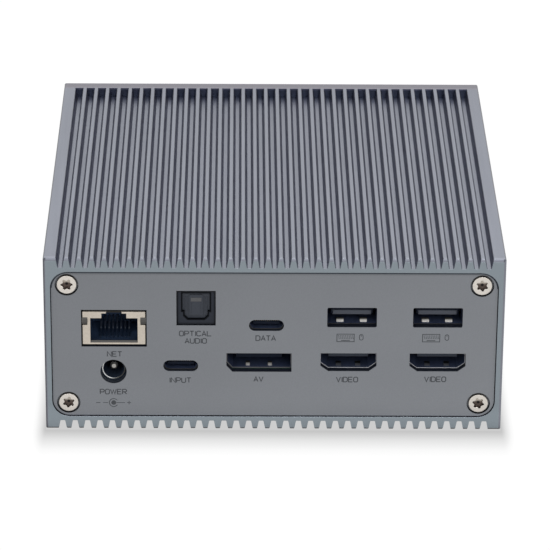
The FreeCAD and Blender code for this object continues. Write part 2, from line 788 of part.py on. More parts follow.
def build_slim_port(label, place):
    shell = Piece(f"{label}_shell").place(*place)
    outer = slot("slim_width + 2 * shell_wall", "slim_height + 2 * shell_wall")
    shell.pad("XZ_Plane", "0", "slim_length", outer, slot("slim_width", "slim_height"))
    insert = Piece(f"{label}_insert").place(*place)
    insert.pad("XZ_Plane", "slim_plug_depth", "slim_length - slim_plug_depth",
               slot("slim_width - 2 * insert_fit", "slim_height - 2 * insert_fit"))
    insert.pad("XZ_Plane", "slim_tongue_inset", "slim_plug_depth - slim_tongue_inset",
               centred("slim_tongue_width", "slim_tongue"))


def build_flat_port(label, place):
    shell = Piece(f"{label}_shell").place(*place)
    outer = centred("flat_width + 2 * shell_wall", "flat_height + 2 * shell_wall")
    shell.pad("XZ_Plane", "0", "flat_length", outer, centred("flat_width", "flat_height"))
    add_springs(shell, "flat")
    insert = Piece(f"{label}_insert").place(*place)
    half, shell_base = "(flat_width / 2 - flat_corner)", "-flat_height / 2 - shell_wall"
    insert.pad("XZ_Plane", "flat_length", "insert_back",
               rectangle(f"-{half}", half, "-flat_rise", "flat_height / 2 - insert_fit"))
    insert.pad("XZ_Plane", "spring_inset", "flat_length - spring_inset",
               rectangle(f"-{half}", half, "-flat_rise", shell_base))
    insert.pad("XZ_Plane", "flat_plug_depth", "flat_length - flat_plug_depth",
               centred("flat_width - 2 * insert_fit", "flat_height - 2 * insert_fit"))
    insert.pad("XZ_Plane", "flat_tongue_inset", "flat_plug_depth - flat_tongue_inset", tongue_outline("flat"))


def build_cut_corner_port(label, kind, both, place):
    shell = Piece(f"{label}_shell").place(*place)
    outer, inner = cut_corner(kind, "shell_wall", both), cut_corner(kind, "0", both)
    shell.pad("XZ_Plane", "0", f"{kind}_length", outer, inner)
    add_springs(shell, kind)
    insert = Piece(f"{label}_insert").place(*place)
    depth = f"{kind}_plug_depth"
    insert.pad("XZ_Plane", depth, f"{kind}_length - {depth}", cut_corner(kind, "-insert_fit", both))
    insert.pad("XZ_Plane", f"{kind}_tongue_inset", f"{depth} - {kind}_tongue_inset", tongue_outline(kind))


def build_network_jack():
    place = "network_x", "network_y", "network_z"
    inner = "network_width - 2 * shell_wall", "network_height - 2 * shell_wall"
    shield = Piece("network_jack_shield").place(*place)
    shield.pad("XZ_Plane", "0", "network_length", centred("network_width", "network_height"))
    shield.cut("XZ_Plane", "shell_wall", "network_length - shell_wall", centred(*inner))
    shield.cut("XZ_Plane", "0", "shell_wall", plug_profile("network_height / 2"))
    side, low, high = "network_width / 2", "tab_rise - tab_height / 2", "tab_rise + tab_height / 2"
    shield.cut("XZ_Plane", "0", "shell_wall", rectangle(f"-{side}", f"tab_width - {side}", low, high),
               rectangle(f"{side} - tab_width", side, low, high))
    ear_low, ear_high = "-network_rise", "ear_thickness - network_rise"
    shield.pad("XZ_Plane", "ear_start", "ear_length",
               rectangle(f"{side} - shell_wall / 2", f"{side} + ear_reach", ear_low, ear_high),
               rectangle(f"-{side} - ear_reach", f"shell_wall / 2 - {side}", ear_low, ear_high))
    insert = Piece("network_jack_insert").place(*place)
    insert_front = "(shell_wall + insert_fit)"
    fitted = [f"{size} - 2 * insert_fit" for size in inner]
    insert.pad("XZ_Plane", insert_front, f"network_length - {insert_front}", centred(*fitted))
    insert.cut("XZ_Plane", insert_front, "network_plug_depth", plug_profile(f"({fitted[1]}) / 2"))
    contacts = Piece("network_jack_contacts").place(*place)
    back = f"{insert_front} + network_plug_depth"
    base, rise = "plug_floor + insert_fit", "plug_floor + contact_rise"
    strip = polygon(("contact_inset", base), (back, f"{rise} - contact_thickness"), (back, rise),
                    ("contact_inset", f"{base} + contact_thickness"))
    row = "(contact_count - 1) * contact_pitch"
    first = contacts.pad("YZ_Plane", f"-{row} / 2 - contact_width / 2", "contact_width", strip)
    contacts.repeat(first, row, "contact_count")


def build_optical_jack():
    place = "optical_x", "optical_y", "optical_z"
    half, low = "optical_width / 2", "-optical_height / 2"
    body = Piece("optical_jack_body").place(*place)
    body.pad("XZ_Plane", "0", "optical_length", centred("optical_width", "optical_height"))
    body.pad("XZ_Plane", "optical_foot_start", "optical_length - optical_foot_start",
             rectangle(f"-{half}", half, "-optical_rise", low))
    body.cut("XZ_Plane", "0", "optical_plug_depth", optical_profile("0"))
    middle = "optical_top - optical_drop / 2"
    pocket_width = "(emitter_width + 2 * emitter_gap)"
    pocket = centred(pocket_width, pocket_width, "0", middle)
    body.cut("XZ_Plane", "optical_length - emitter_length", "emitter_length", pocket)
    body.cut("XZ_Plane", "optical_plug_depth", "optical_length - emitter_length - optical_plug_depth",
             circle("emitter_lens + 2 * emitter_gap", "0", middle))
    bearing = "(optical_upper_width + 2 * (hinge_pin_reach + hinge_pin_gap))"
    body.cut("YZ_Plane", f"-{bearing} / 2", bearing,
             circle("hinge_pin + 2 * hinge_pin_gap", "hinge_y", "hinge_z"))

    shutter = Piece("optical_shutter").place(*place)
    shutter.pad("XZ_Plane", "shutter_inset", "shutter_thickness", optical_profile("-shutter_gap", "hinge_z"))
    barrel = "(optical_upper_width - 2 * shutter_gap)"
    shutter.pad("YZ_Plane", f"-{barrel} / 2", barrel, circle("shutter_thickness", "hinge_y", "hinge_z"))
    pins = "(optical_upper_width + 2 * hinge_pin_reach)"
    shutter.pad("YZ_Plane", f"-{pins} / 2", pins, circle("hinge_pin", "hinge_y", "hinge_z"))
    rib_half = "shutter_rib_width / 2"
    shutter.pad("XZ_Plane", "shutter_inset - shutter_rib_height", "shutter_rib_height",
                rectangle(f"-{rib_half}", rib_half, "optical_top - optical_drop + optical_corner", "hinge_z"))

    emitter = Piece("optical_emitter").place(*place)
    emitter.pad("XZ_Plane", "optical_length - emitter_length", "emitter_length",
                centred("emitter_width", "emitter_width", "0", middle))
    emitter.pad("XZ_Plane", "optical_length - emitter_length - emitter_lens_length", "emitter_lens_length",
                circle("emitter_lens", "0", middle))


def build_power_jack():
    place = "power_x", "port_front", "power_z"
    half = "power_width / 2"
    body = Piece("power_jack_body").place(*place)
    body.pad("XZ_Plane", "0", "power_length", rectangle(f"-{half}", half, "-power_below", "power_above"))
    ears = f"-{half} - ear_reach", f"{half} + ear_reach"
    body.pad("XZ_Plane", "ear_start", "ear_length",
             rectangle(*ears, "power_drop", "power_drop + ear_thickness"))
    nose = "(panel_thickness + port_gap - power_nose_inset)"
    body.pad("XZ_Plane", f"-{nose}", nose, circle("power_nose"))
    body.cut("XZ_Plane", f"-{nose}", f"power_bore_depth + {nose}", circle("power_bore"))
    body.cut("XZ_Plane", "power_bore_depth", "power_length - power_bore_depth",
             circle("power_pin + 2 * power_pin_gap"))
    pin = Piece("power_jack_pin").place(*place)
    radius, tail = "power_pin / 2", "power_length + power_pin_tail"
    pin.revolve("YZ_Plane", polygon(
        ("power_pin_inset", "0"), (tail, "0"), (tail, radius), ("power_pin_inset + power_pin_tip", radius),
        ("power_pin_inset", f"{radius} - power_pin_tip")))


def build_audio_jack():
    place = "front_audio_share * panel_half", "front_port", "upper_top + audio_height / 2", True
    body = Piece("audio_jack_body").place(*place)
    body.pad("XZ_Plane", "0", "audio_length", centred("audio_width", "audio_height"))
    nose = "(port_gap + front_skin - audio_nose_gap)"
    body.pad("XZ_Plane", f"-{nose}", nose, circle("audio_nose"))
    body.cut("XZ_Plane", f"-{nose}", "audio_bore_depth", circle("audio_bore"))


def build_ports():
    build_network_jack()
    build_optical_jack()
    build_power_jack()
    upper_slim, lower_slim = "upper_top + slim_rise", "lower_top + slim_rise"
    build_slim_port("data_port", ("data_share * panel_half", "slim_front", upper_slim))
    build_slim_port("host_port", ("host_share * panel_half", "slim_front", lower_slim))
    build_cut_corner_port("monitor_port", "monitor", False,
                          ("monitor_share * panel_half", "port_front", "lower_top + monitor_rise"))
    for side in ("left", "right"):
        build_cut_corner_port(f"{side}_video_port", "video", True,
                              (f"{side}_video_share * panel_half", "port_front", "lower_top + video_rise"))
        build_flat_port(f"{side}_flat_port",
                        (f"{side}_flat_share * panel_half", "port_front", "upper_top + flat_rise"))
    build_slim_port("front_slim_port", ("front_slim_share * panel_half", "front_port", upper_slim, True))
    build_flat_port("front_flat_port",
                    ("front_flat_share * panel_half", "front_port", "upper_top + flat_rise", True))
    build_audio_jack()


def check():
    """Stop on any failed feature, invalid solid or cut that removes nothing."""
    for item in doc.Objects:
        if {"Invalid", "Error"} & set(item.State):
            raise RuntimeError(f"{item.Name}: {item.getStatusString()}")
        if item.TypeId == "PartDesign::Pocket" and item.BaseFeature.Shape.Volume - item.Shape.Volume < 1e-6:
            raise RuntimeError(f"{item.Name} of {item.getParentGeoFeatureGroup().Label} cuts nothing")
    for body in pieces:
        if body.Shape.isNull() or not body.Shape.isValid() or not body.Shape.Solids:
            raise RuntimeError(f"{body.Label} has no valid solid")


build_housing()
build_rear_panel()
build_rear_screws()
build_front_panel()
build_boards()
build_stacking_connector()
build_heat_path()
build_board_parts()
build_ports()
doc.recompute()
check()

os.makedirs("parts", exist_ok=True)
for body in pieces:
    body.Shape.exportStep(f"parts/{body.Label}.step")
    box = body.Shape.BoundBox
    spans = [f"{low:.2f}..{high:.2f}" for low, high in
             ((box.XMin, box.XMax), (box.YMin, box.YMax), (box.ZMin, box.ZMax))]
    print(f"{body.Label}: {len(body.Shape.Solids)} solids, {body.Shape.Volume:.1f} mm3,", *spans)
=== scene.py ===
import math

import bpy
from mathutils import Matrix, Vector


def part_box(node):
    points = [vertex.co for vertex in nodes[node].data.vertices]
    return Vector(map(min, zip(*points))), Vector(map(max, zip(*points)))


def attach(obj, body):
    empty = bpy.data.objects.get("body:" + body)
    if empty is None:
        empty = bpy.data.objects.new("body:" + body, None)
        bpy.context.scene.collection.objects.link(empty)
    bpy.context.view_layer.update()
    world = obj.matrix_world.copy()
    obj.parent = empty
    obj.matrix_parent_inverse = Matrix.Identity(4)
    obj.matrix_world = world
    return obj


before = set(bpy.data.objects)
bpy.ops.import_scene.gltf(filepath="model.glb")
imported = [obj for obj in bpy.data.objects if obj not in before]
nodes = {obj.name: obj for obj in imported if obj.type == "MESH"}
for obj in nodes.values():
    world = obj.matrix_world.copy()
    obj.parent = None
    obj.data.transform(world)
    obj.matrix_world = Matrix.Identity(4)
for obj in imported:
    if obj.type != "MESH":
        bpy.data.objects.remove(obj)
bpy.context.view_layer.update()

# Docking station in a finned aluminium extrusion. Its ports look along -Y, and its grooves run along Y.
# Lengths are in millimetres, apart from those of the floor and the lights, which are in metres.
MM = 0.001


def low_corner(node):
    """Lowest corner of a node's box."""
    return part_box(node)[0] / MM


def high_corner(node):
    """Highest corner of a node's box."""
    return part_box(node)[1] / MM


def middle(node):
    """Middle of a node's box."""
    low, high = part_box(node)
    return (low + high) / 2 / MM


def add_object(name, data):
    """Put a new object into the scene."""
    thing = bpy.data.objects.new(name, data)
    bpy.context.scene.collection.objects.link(thing)
    return thing


PANEL_FACE = low_corner("rear_panel").y
PANEL_SIDE, PANEL_TOP = high_corner("rear_panel").x, high_corner("rear_panel").z
HOUSING_TOP = high_corner("finned_housing").z
HALF_WIDTH = high_corner("finned_housing").x
HALF_DEPTH = high_corner("front_panel").y
GROOVE_END = high_corner("finned_housing").y
END_BEVEL = 0.6
EDGE_BAND = 0.7
SHELL_WALL = 0.3
network, power = middle("network_jack_insert"), middle("power_jack_pin")


# Materials

# Painted shade on the walls of the grooves, and deeper painted shade where they meet the end plate
GROOVE_WALL_SHADE = (0.157, 0.167, 0.234)
PLATE_CORNER_SHADE = (0.056, 0.07, 0.105)
LIP_TINT = (0.222, 0.255, 0.28)
# Painted shade on the walls inside the panel's cut-outs and screw holes, and painted light on the deeper wall of the
# power jack's hole
HOLE_WALL_SHADE = (0.012, 0.016, 0.029)
SCREW_HOLE_SHADE = (0.027, 0.028, 0.03)
POWER_HOLE_LIGHT = (0.05, 0.06, 0.076)
POWER_HOLE_REACH = 3.6
SCREW_ZONE = 10
SCREW_RADIUS = 2.435
# Sockets of the screws: their brown, painted light in the upper lobes, painted shade at the centre
SOCKET_BROWN, SOCKET_LIT, SOCKET_SHADE = (0.09, 0.07, 0.06), (0.4, 0.36, 0.31), (0.012, 0.011, 0.011)
# Painted shade on the network contacts, short of their bends
CONTACT_SHADE = (0.012, 0.021, 0.042)
LATCH_NOTCH_HALF = 1.9
SHEET_STRETCH = (1, 0.3, 1)


class Finish:
    """A material on one principled shader, textured in the part's own coordinates."""

    def __init__(self, name, colour, metallic=0.0, roughness=0.5, **sockets):
        self.material = bpy.data.materials.new(name)
        self.material.use_nodes = True
        self.tree = self.material.node_tree
        self.shader = self.tree.nodes["Principled BSDF"]
        self.colour, self.tint = colour, None
        self.shader.inputs["Base Color"].default_value = (*colour, 1)
        self.shader.inputs["Metallic"].default_value = metallic
        self.shader.inputs["Roughness"].default_value = roughness
        for socket, value in sockets.items():
            self.shader.inputs[socket.replace("_", " ")].default_value = value
        self.place = self.add("ShaderNodeTexCoord").outputs["Object"]

    def add(self, kind, inputs=None, **settings):
        """Add a node; an input is a plain value or another node's output."""
        node = self.tree.nodes.new(kind)
        for name, setting in settings.items():
            setattr(node, name, setting)
        for key, source in (inputs or {}).items():
            if isinstance(source, bpy.types.NodeSocket):
                self.tree.links.new(source, node.inputs[key])
            else:
                node.inputs[key].default_value = source
        return node

    def feed(self, socket, source):
        """Lead a node's output to the shader."""
        self.tree.links.new(source, self.shader.inputs[socket])

    # Values

    def math(self, operation, first, second=0.0):
        return self.add("ShaderNodeMath", {0: first, 1: second}, operation=operation).outputs[0]

    def remap(self, source, low, high, to_low=0.0, to_high=1.0, smooth=False):
        """Lead a range of values to another range, and hold its ends."""
        return self.add("ShaderNodeMapRange", {0: source, 1: low, 2: high, 3: to_low, 4: to_high},
                        interpolation_type="SMOOTHSTEP" if smooth else "LINEAR").outputs[0]

    def noise(self, scale, stretch=(1, 1, 1), detail=3.0):
        """Noise with about this many grains to the metre, stretched along the axes."""
        spread = self.add("ShaderNodeMapping", {"Vector": self.place, "Scale": stretch})
        return self.add("ShaderNodeTexNoise", {
            "Vector": spread.outputs[0], "Scale": scale, "Detail": detail}).outputs["Fac"]

    def axis(self, name):
        """One of the part's own coordinates, in millimetres."""
        split = self.add("ShaderNodeSeparateXYZ", {0: self.place}).outputs[name]
        return self.math("MULTIPLY", split, 1000.0)

    def facing(self, name):
        """How far a face looks along an axis, from -1 to 1."""
        normal = self.add("ShaderNodeNewGeometry").outputs["True Normal"]
        return self.add("ShaderNodeSeparateXYZ", {0: normal}).outputs[name]

    # Masks, which are 1 where they hold and 0 elsewhere

    def above(self, source, limit):
        return self.math("GREATER_THAN", source, limit)

    def below(self, source, limit):
        return self.math("LESS_THAN", source, limit)

    def size(self, source):
        return self.math("ABSOLUTE", source)

    def near(self, source, centre, reach):
        return self.below(self.size(self.math("SUBTRACT", source, centre)), reach)

    def both(self, mask, *others):
        """Where all of the masks hold."""
        for other in others:
            mask = self.math("MULTIPLY", mask, other)
        return mask

    # Colour

    def blend(self, share, first, second):
        """Mix two colours by a share."""
        first, second = [(*colour, 1) if isinstance(colour, tuple) else colour for colour in (first, second)]
        return self.add("ShaderNodeMix", {0: share, 6: first, 7: second}, data_type="RGBA").outputs[2]

    def set_colour(self, source):
        self.tint = source
        self.feed("Base Color", source)

    def tint_where(self, mask, colour):
        """Lay a colour over the colour so far."""
        self.set_colour(self.blend(mask, self.tint, colour))

    def shade(self, source):
        """Multiply the colour so far by a value."""
        self.set_colour(self.add("ShaderNodeVectorMath", {0: self.tint or self.colour, 3: source},
                                 operation="SCALE").outputs[0])

    def shade_where(self, mask, share):
        """Multiply the colour so far by a value, where a mask holds."""
        self.shade(self.remap(mask, 0, 1, 1.0, share))

    def vary(self, scale, spread, stretch=(1, 1, 1)):
        """Let the colour wander by a share of itself."""
        self.shade(self.remap(self.noise(scale, stretch), 0.3, 0.7, 1 - spread, 1 + spread))

    def nook_shade(self, reach, share):
        """Painted shade: darken corners that other faces stand over."""
        open_sky = self.add("ShaderNodeAmbientOcclusion", {"Distance": reach * MM}, samples=8).outputs["AO"]
        self.shade(self.remap(open_sky, 0.5, 1.0, share, 1.0))

    # Skin

    def rough(self, scale, low, high, stretch=(1, 1, 1)):
        """Let the roughness wander between two values."""
        self.feed("Roughness", self.remap(self.noise(scale, stretch), 0.3, 0.7, low, high))

    def bump(self, scale, depth, strength, stretch=(1, 1, 1), edge=0.0):
        """Fine relief of a depth, over edges eased by a radius."""
        inputs = {"Height": self.noise(scale, stretch, 2.0), "Strength": strength, "Distance": depth * MM}
        if edge:
            inputs["Normal"] = self.add("ShaderNodeBevel", {"Radius": edge * MM}, samples=4).outputs[0]
        self.feed("Normal", self.add("ShaderNodeBump", inputs).outputs[0])


class HousingFinish(Finish):
    """Blasted and anodised aluminium: fine grain, drawing lines along the extrusion, painted shade in the grooves,
    and painted light and shade on its top, ends and edges.
    """

    def __init__(self, name, colour, top_colour=None):
        super().__init__(name, colour, metallic=1.0, roughness=0.36)
        self.vary(14000, 0.05)
        self.vary(900, 0.04, stretch=(1, 0.03, 1))
        self.vary(45, 0.02)
        self.across, self.along, self.height = [self.axis(letter) for letter in "XYZ"]
        self.level = self.above(self.facing("Z"), 0.95)
        self.side = self.above(self.size(self.across), HALF_WIDTH - EDGE_BAND)
        end = self.above(self.size(self.along), HALF_DEPTH - EDGE_BAND)
        self.inner = self.math("SUBTRACT", 1.0, self.math("MAXIMUM", self.side, end))
        self.shade_top(top_colour)
        self.shade_grooves()
        self.shade_port_end()
        self.shade_end_bevels()
        self.shade_cut_edges()
        self.rough(2500, 0.3, 0.42)
        self.bump(9000, depth=0.02, strength=0.3, edge=0.12)

    def shade_top(self, top_colour):
        """Painted shade: the top darkens towards the end plate, whose top takes a painted tone of reflected light
        there.
        """
        self.shade_where(self.level, self.remap(self.along, -40, HALF_DEPTH, 1.0, 0.89))
        if top_colour:
            self.tint_where(self.level, top_colour)

    def shade_grooves(self):
        """Painted shade: the walls of the grooves are darkened, most where they meet the end plate."""
        self.tint_where(self.both(self.near(self.facing("Z"), 0, 0.6), self.inner), GROOVE_WALL_SHADE)
        deep = self.below(self.height, HOUSING_TOP - 0.5)
        near_plate = self.remap(self.along, GROOVE_END - 2.2, GROOVE_END - 0.2, 0.0, 0.7)
        self.tint_where(self.both(self.inner, deep, near_plate), PLATE_CORNER_SHADE)

    def shade_port_end(self):
        """The cut end around the port panel takes a tint; painted light makes it paler low down and lights the ledge
        under the panel.
        """
        lip = self.below(self.along, -HALF_DEPTH + 0.02)
        self.tint_where(lip, LIP_TINT)
        self.shade_where(lip, self.remap(self.height, END_BEVEL, 7.0, 1.42, 1.0))
        before_panel, low_down = self.below(self.along, PANEL_FACE), self.below(self.height, HOUSING_TOP / 2)
        # Painted light on the ledge under the panel
        self.shade_where(self.both(self.above(self.facing("Z"), 0.9), before_panel, low_down), 3.0)

    def shade_end_bevels(self):
        """Painted light and shade on the bevels of the port end, each in the light of its own side."""
        bevel = self.near(self.facing("Y"), -0.7, 0.2)
        sideways, upward = self.facing("X"), self.facing("Z")
        left_share = self.remap(self.across, -HALF_WIDTH + 0.2, -HALF_WIDTH + 0.55, 0.36, 0.9)
        upper_share = self.remap(self.height, HOUSING_TOP - END_BEVEL, HOUSING_TOP, 0.66, 1.14)
        for side, share in ((self.below(sideways, -0.5), left_share), (self.above(sideways, 0.5), 0.85),
                            (self.above(upward, 0.5), upper_share), (self.below(upward, -0.5), 0.3)):
            self.shade_where(self.both(bevel, side), share)

    def shade_cut_edges(self):
        """Painted highlights at both ends of the top, and painted shade on the bevels along its sides and on the tips
        of the fins.
        """
        ends = self.math("MAXIMUM", self.below(self.along, -HALF_DEPTH + 1.5),
                         self.near(self.along, GROOVE_END + 0.4, 0.4))
        self.shade_where(self.both(self.level, self.above(self.height, HOUSING_TOP - 0.1), ends), 1.18)
        tilted = self.near(self.facing("Z"), 0.7, 0.2)
        self.shade_where(self.both(tilted, self.side), 0.42)
        self.shade_where(self.both(tilted, self.inner, self.above(self.height, HOUSING_TOP - 0.3)), 0.5)


def make_panel_finish():
    """Fine matt plate, with painted light that makes it paler low down and to the right, painted shade towards its
    top and under the upper lip, and painted shade on the walls inside its cut-outs.
    """
    finish = Finish("anodised_panel", (0.169, 0.1765, 0.19), metallic=0.6, roughness=0.5)
    finish.vary(11000, 0.045)
    finish.vary(60, 0.02)
    across, along, height = [finish.axis(letter) for letter in "XYZ"]
    # Painted light low down and to the right, and painted shade towards the top
    finish.shade(finish.remap(height, 5, 18, 1.09, 1.0, smooth=True))
    finish.shade(finish.remap(height, 26, 42, 1.0, 0.95))
    finish.shade(finish.remap(across, -HALF_WIDTH, HALF_WIDTH, 0.97, 1.06))
    at_screws = finish.above(finish.size(across), HALF_WIDTH - SCREW_ZONE)
    # Painted shade on the walls inside the cut-outs, with painted light deeper in the power jack's hole
    wall_shade = finish.blend(at_screws, HOLE_WALL_SHADE, SCREW_HOLE_SHADE)
    at_power = finish.both(finish.near(across, power.x, POWER_HOLE_REACH),
                           finish.near(height, power.z, POWER_HOLE_REACH))
    lit = finish.remap(along, PANEL_FACE + 0.35, PANEL_FACE + 1.2)
    wall_shade = finish.blend(finish.both(at_power, lit), wall_shade, POWER_HOLE_LIGHT)
    wall = finish.remap(along, PANEL_FACE + 0.02, PANEL_FACE + 0.35)
    finish.tint_where(finish.both(wall, finish.above(finish.facing("Y"), -0.5)), wall_shade)
    # Painted shadow under the upper lip
    finish.shade(finish.remap(height, PANEL_TOP - 0.9, PANEL_TOP - 0.2, 1.0, 0.7))
    finish.nook_shade(reach=0.8, share=0.92)
    finish.rough(3000, 0.5, 0.62)
    finish.bump(11000, depth=0.015, strength=0.3, edge=0.1)
    return finish


def make_screw_finish():
    """Nickel heads with brown sockets, with painted light in their upper lobes and painted shade at their centres."""
    finish = Finish("nickel_screw", (0.62, 0.58, 0.53), metallic=1.0, roughness=0.34)
    finish.vary(2600, 0.05)
    low, high = low_corner("rear_panel_screws"), high_corner("rear_panel_screws")
    height = finish.math("SUBTRACT", finish.axis("Z"), (low.z + high.z) / 2)
    up = finish.math("SUBTRACT", finish.size(height), (high.z - low.z) / 2 - SCREW_RADIUS)
    up = finish.math("MULTIPLY", up, finish.math("SIGN", height))
    across = finish.math("SUBTRACT", finish.size(finish.axis("X")), high.x - SCREW_RADIUS)
    away = finish.math("ADD", finish.math("POWER", up, 2.0), finish.math("POWER", across, 2.0))
    lobes = finish.blend(finish.remap(up, 0.1, 0.6), SOCKET_BROWN, SOCKET_LIT)
    socket = finish.blend(finish.remap(away, 0.05, 0.25), SOCKET_SHADE, lobes)
    # Painted light and shade inside the sockets
    finish.tint_where(finish.remap(finish.axis("Y"), PANEL_FACE + 0.06, PANEL_FACE + 0.16), socket)
    finish.rough(4000, 0.26, 0.42)
    finish.bump(5000, depth=0.01, strength=0.25, edge=0.25)
    return finish


def make_shell_finish(name, edge_light):
    """Port shells: painted light on the cut front edge, and painted shade inside."""
    finish = Finish(name, (0.042, 0.056, 0.105), metallic=0.3, roughness=0.5)
    finish.vary(1500, 0.1, stretch=(1, 0.2, 1))
    finish.tint_where(finish.below(finish.facing("Y"), -0.6), (edge_light, edge_light, edge_light * 1.05))
    finish.rough(2500, 0.36, 0.5)
    finish.bump(4000, depth=0.01, strength=0.2)
    return finish


def make_moulding(name, colour, roughness, grain=5000, gloss=0.5):
    """Moulded plastic with a fine spark-eroded skin."""
    finish = Finish(name, colour, roughness=roughness, Specular_IOR_Level=gloss)
    finish.vary(grain, 0.12)
    finish.rough(grain / 3, roughness - 0.07, roughness + 0.07)
    finish.bump(grain, depth=0.012, strength=0.3, edge=0.08)
    return finish


def make_network_finish():
    """Insert of the network jack, with painted shade at its mouth."""
    finish = make_moulding("network_moulding", (0.03, 0.05, 0.094), roughness=0.5, gloss=0.08)
    finish.shade(finish.remap(finish.axis("Y"), PANEL_FACE + 0.5, PANEL_FACE + 6.0, 0.25, 1.15))
    return finish


def make_optical_finish():
    """Body of the optical jack, with painted shade in its corners."""
    finish = make_moulding("optical_moulding", (0.015, 0.018, 0.025), roughness=0.5, grain=4000, gloss=0.15)
    finish.nook_shade(reach=0.9, share=0.1)
    return finish


def make_metal(name, colour, roughness, grain=3000, stretch=(1, 1, 1), metallic=0.9, relief=0.01):
    """Plated or drawn metal with a fine grain and a relief."""
    finish = Finish(name, colour, metallic=metallic, roughness=roughness)
    finish.vary(grain, 0.06, stretch)
    finish.vary(120, 0.05)
    finish.rough(grain, roughness - 0.06, roughness + 0.08, stretch)
    if relief:
        finish.bump(grain, relief, strength=0.2, stretch=stretch, edge=0.06)
    return finish


def make_spring_finish(name, colour):
    """Bowed springs: bright at the mouth of the port, with painted shade behind it."""
    finish = make_metal(name, colour, roughness=0.4, grain=3500, metallic=0.3, relief=0.0)
    from_middle, edge = finish.size(finish.axis("Y")), -low_corner("left_flat_port_shell").y
    finish.shade(finish.remap(from_middle, edge - 1.9, edge - 1.1, 0.06, 1.0, smooth=True))
    return finish


def make_contact_finish():
    """Contact strips in painted shade, which they leave towards their bends."""
    finish = make_metal("plated_contact", (0.05, 0.062, 0.095), roughness=0.4, metallic=0.2)
    start = low_corner("network_jack_contacts").y
    bend = finish.remap(finish.axis("Y"), start + 3.6, start + 4.5)
    finish.set_colour(finish.blend(bend, CONTACT_SHADE, finish.tint))
    return finish


def make_power_lip_finish():
    """Rim of the power jack, with a painted highlight on the side of the light and painted shade at its top."""
    finish = make_metal("power_lip", (0.62, 0.63, 0.62), roughness=0.3, relief=0.0)
    # Painted highlight on the left of the rim, painted shade at its top
    finish.shade(finish.remap(finish.axis("X"), power.x - 2.9, power.x + 1.5, 1.0, 0.08, smooth=True))
    finish.shade(finish.remap(finish.axis("Z"), power.z + 1.2, power.z + 2.6, 1.0, 0.12))
    return finish


def make_shield_finish():
    """Tinned sheet, with painted shade in its corners, and painted shade over the latch notch of the jack, which is
    cut through to its upper edge.
    """
    finish = make_metal("tinned_shield", (0.482, 0.432, 0.368), roughness=0.38, grain=2200,
                        stretch=SHEET_STRETCH, metallic=0.7)
    finish.nook_shade(reach=0.7, share=0.4)
    # Painted shade over the latch notch
    notch = finish.both(finish.near(finish.axis("X"), network.x, LATCH_NOTCH_HALF),
                        finish.above(finish.axis("Z"), middle("network_jack_shield").z))
    finish.shade_where(notch, 0.05)
    return finish


def make_board_finish():
    """Solder mask over copper runs, with scattered bright pads."""
    finish = Finish("board_laminate", (0.008, 0.035, 0.02), roughness=0.35)
    runs = finish.add("ShaderNodeTexBrick", {
        "Vector": finish.place, "Color1": (0.006, 0.03, 0.017, 1), "Color2": (0.01, 0.043, 0.024, 1),
        "Mortar": (0.014, 0.06, 0.033, 1), "Scale": 240.0, "Mortar Size": 0.03, "Row Height": 0.4})
    cells = finish.add("ShaderNodeTexVoronoi", {"Vector": finish.place, "Scale": 420.0})
    pads = finish.below(cells.outputs["Distance"], 0.1)
    finish.set_colour(finish.blend(pads, runs.outputs["Color"], (0.45, 0.42, 0.36)))
    finish.rough(900, 0.28, 0.42)
    finish.bump(700, depth=0.03, strength=0.2)
    return finish


# Finishes of the solids
housing_finish = HousingFinish("anodised_housing", (0.231, 0.24, 0.2775))
# The end plate's top takes a painted tone of reflected light
plate_finish = HousingFinish("anodised_plate", (0.214, 0.22, 0.252), top_colour=(0.182, 0.172, 0.195))
panel_finish = make_panel_finish()
screw_finish = make_screw_finish()
# The shell finishes differ in the painted light on their front edges
shell_finish = make_shell_finish("port_shell", edge_light=0.5)
monitor_shell_finish = make_shell_finish("monitor_shell", edge_light=0.11)
dark_shell_finish = make_shell_finish("dark_port_shell", edge_light=0.03)
insert_finish = make_moulding("port_insert", (0.006, 0.009, 0.018), roughness=0.42, gloss=0.07)
# A lighter copy of the insert moulding: painted light inside the video ports
video_insert_finish = make_moulding("video_insert", (0.028, 0.033, 0.045), roughness=0.42, gloss=0.1)
network_finish = make_network_finish()
jack_finish = make_moulding("jack_moulding", (0.012, 0.018, 0.034), roughness=0.5, gloss=0.15)
optical_finish = make_optical_finish()
shutter_finish = make_moulding("shutter_moulding", (0.028, 0.032, 0.041), roughness=0.42, grain=4000, gloss=0.2)
power_finish = make_moulding("power_moulding", (0.022, 0.031, 0.05), roughness=0.4, gloss=0.08)
shield_finish = make_shield_finish()
contact_finish = make_contact_finish()
pin_finish = make_metal("plated_pin", (0.36, 0.35, 0.33), roughness=0.3)
board_finish = make_board_finish()
chip_finish = make_moulding("chip_moulding", (0.015, 0.015, 0.016), roughness=0.6, grain=9000)
pad_finish = make_moulding("thermal_pad", (0.25, 0.32, 0.36), roughness=0.75, grain=2500)
block_finish = make_metal("milled_block", (0.62, 0.63, 0.64), roughness=0.32, grain=1800, stretch=(0.05, 1, 1))
ferrite_finish = make_moulding("ferrite", (0.06, 0.06, 0.062), roughness=0.7, grain=8000)
can_finish = make_metal("capacitor_can", (0.68, 0.68, 0.7), roughness=0.3, grain=1500)
emitter_finish = make_moulding("emitter_moulding", (0.03, 0.03, 0.034), roughness=0.25)

# Finishes of the trim
ink_finish = make_moulding("printed_ink", (0.045, 0.048, 0.053), roughness=0.6, grain=7000, gloss=0.2)
# Painted shadow under the upper lip of the extrusion
lip_shadow_finish = make_moulding("lip_shadow_line", (0.03, 0.036, 0.046), roughness=0.6, grain=4000, gloss=0.1)
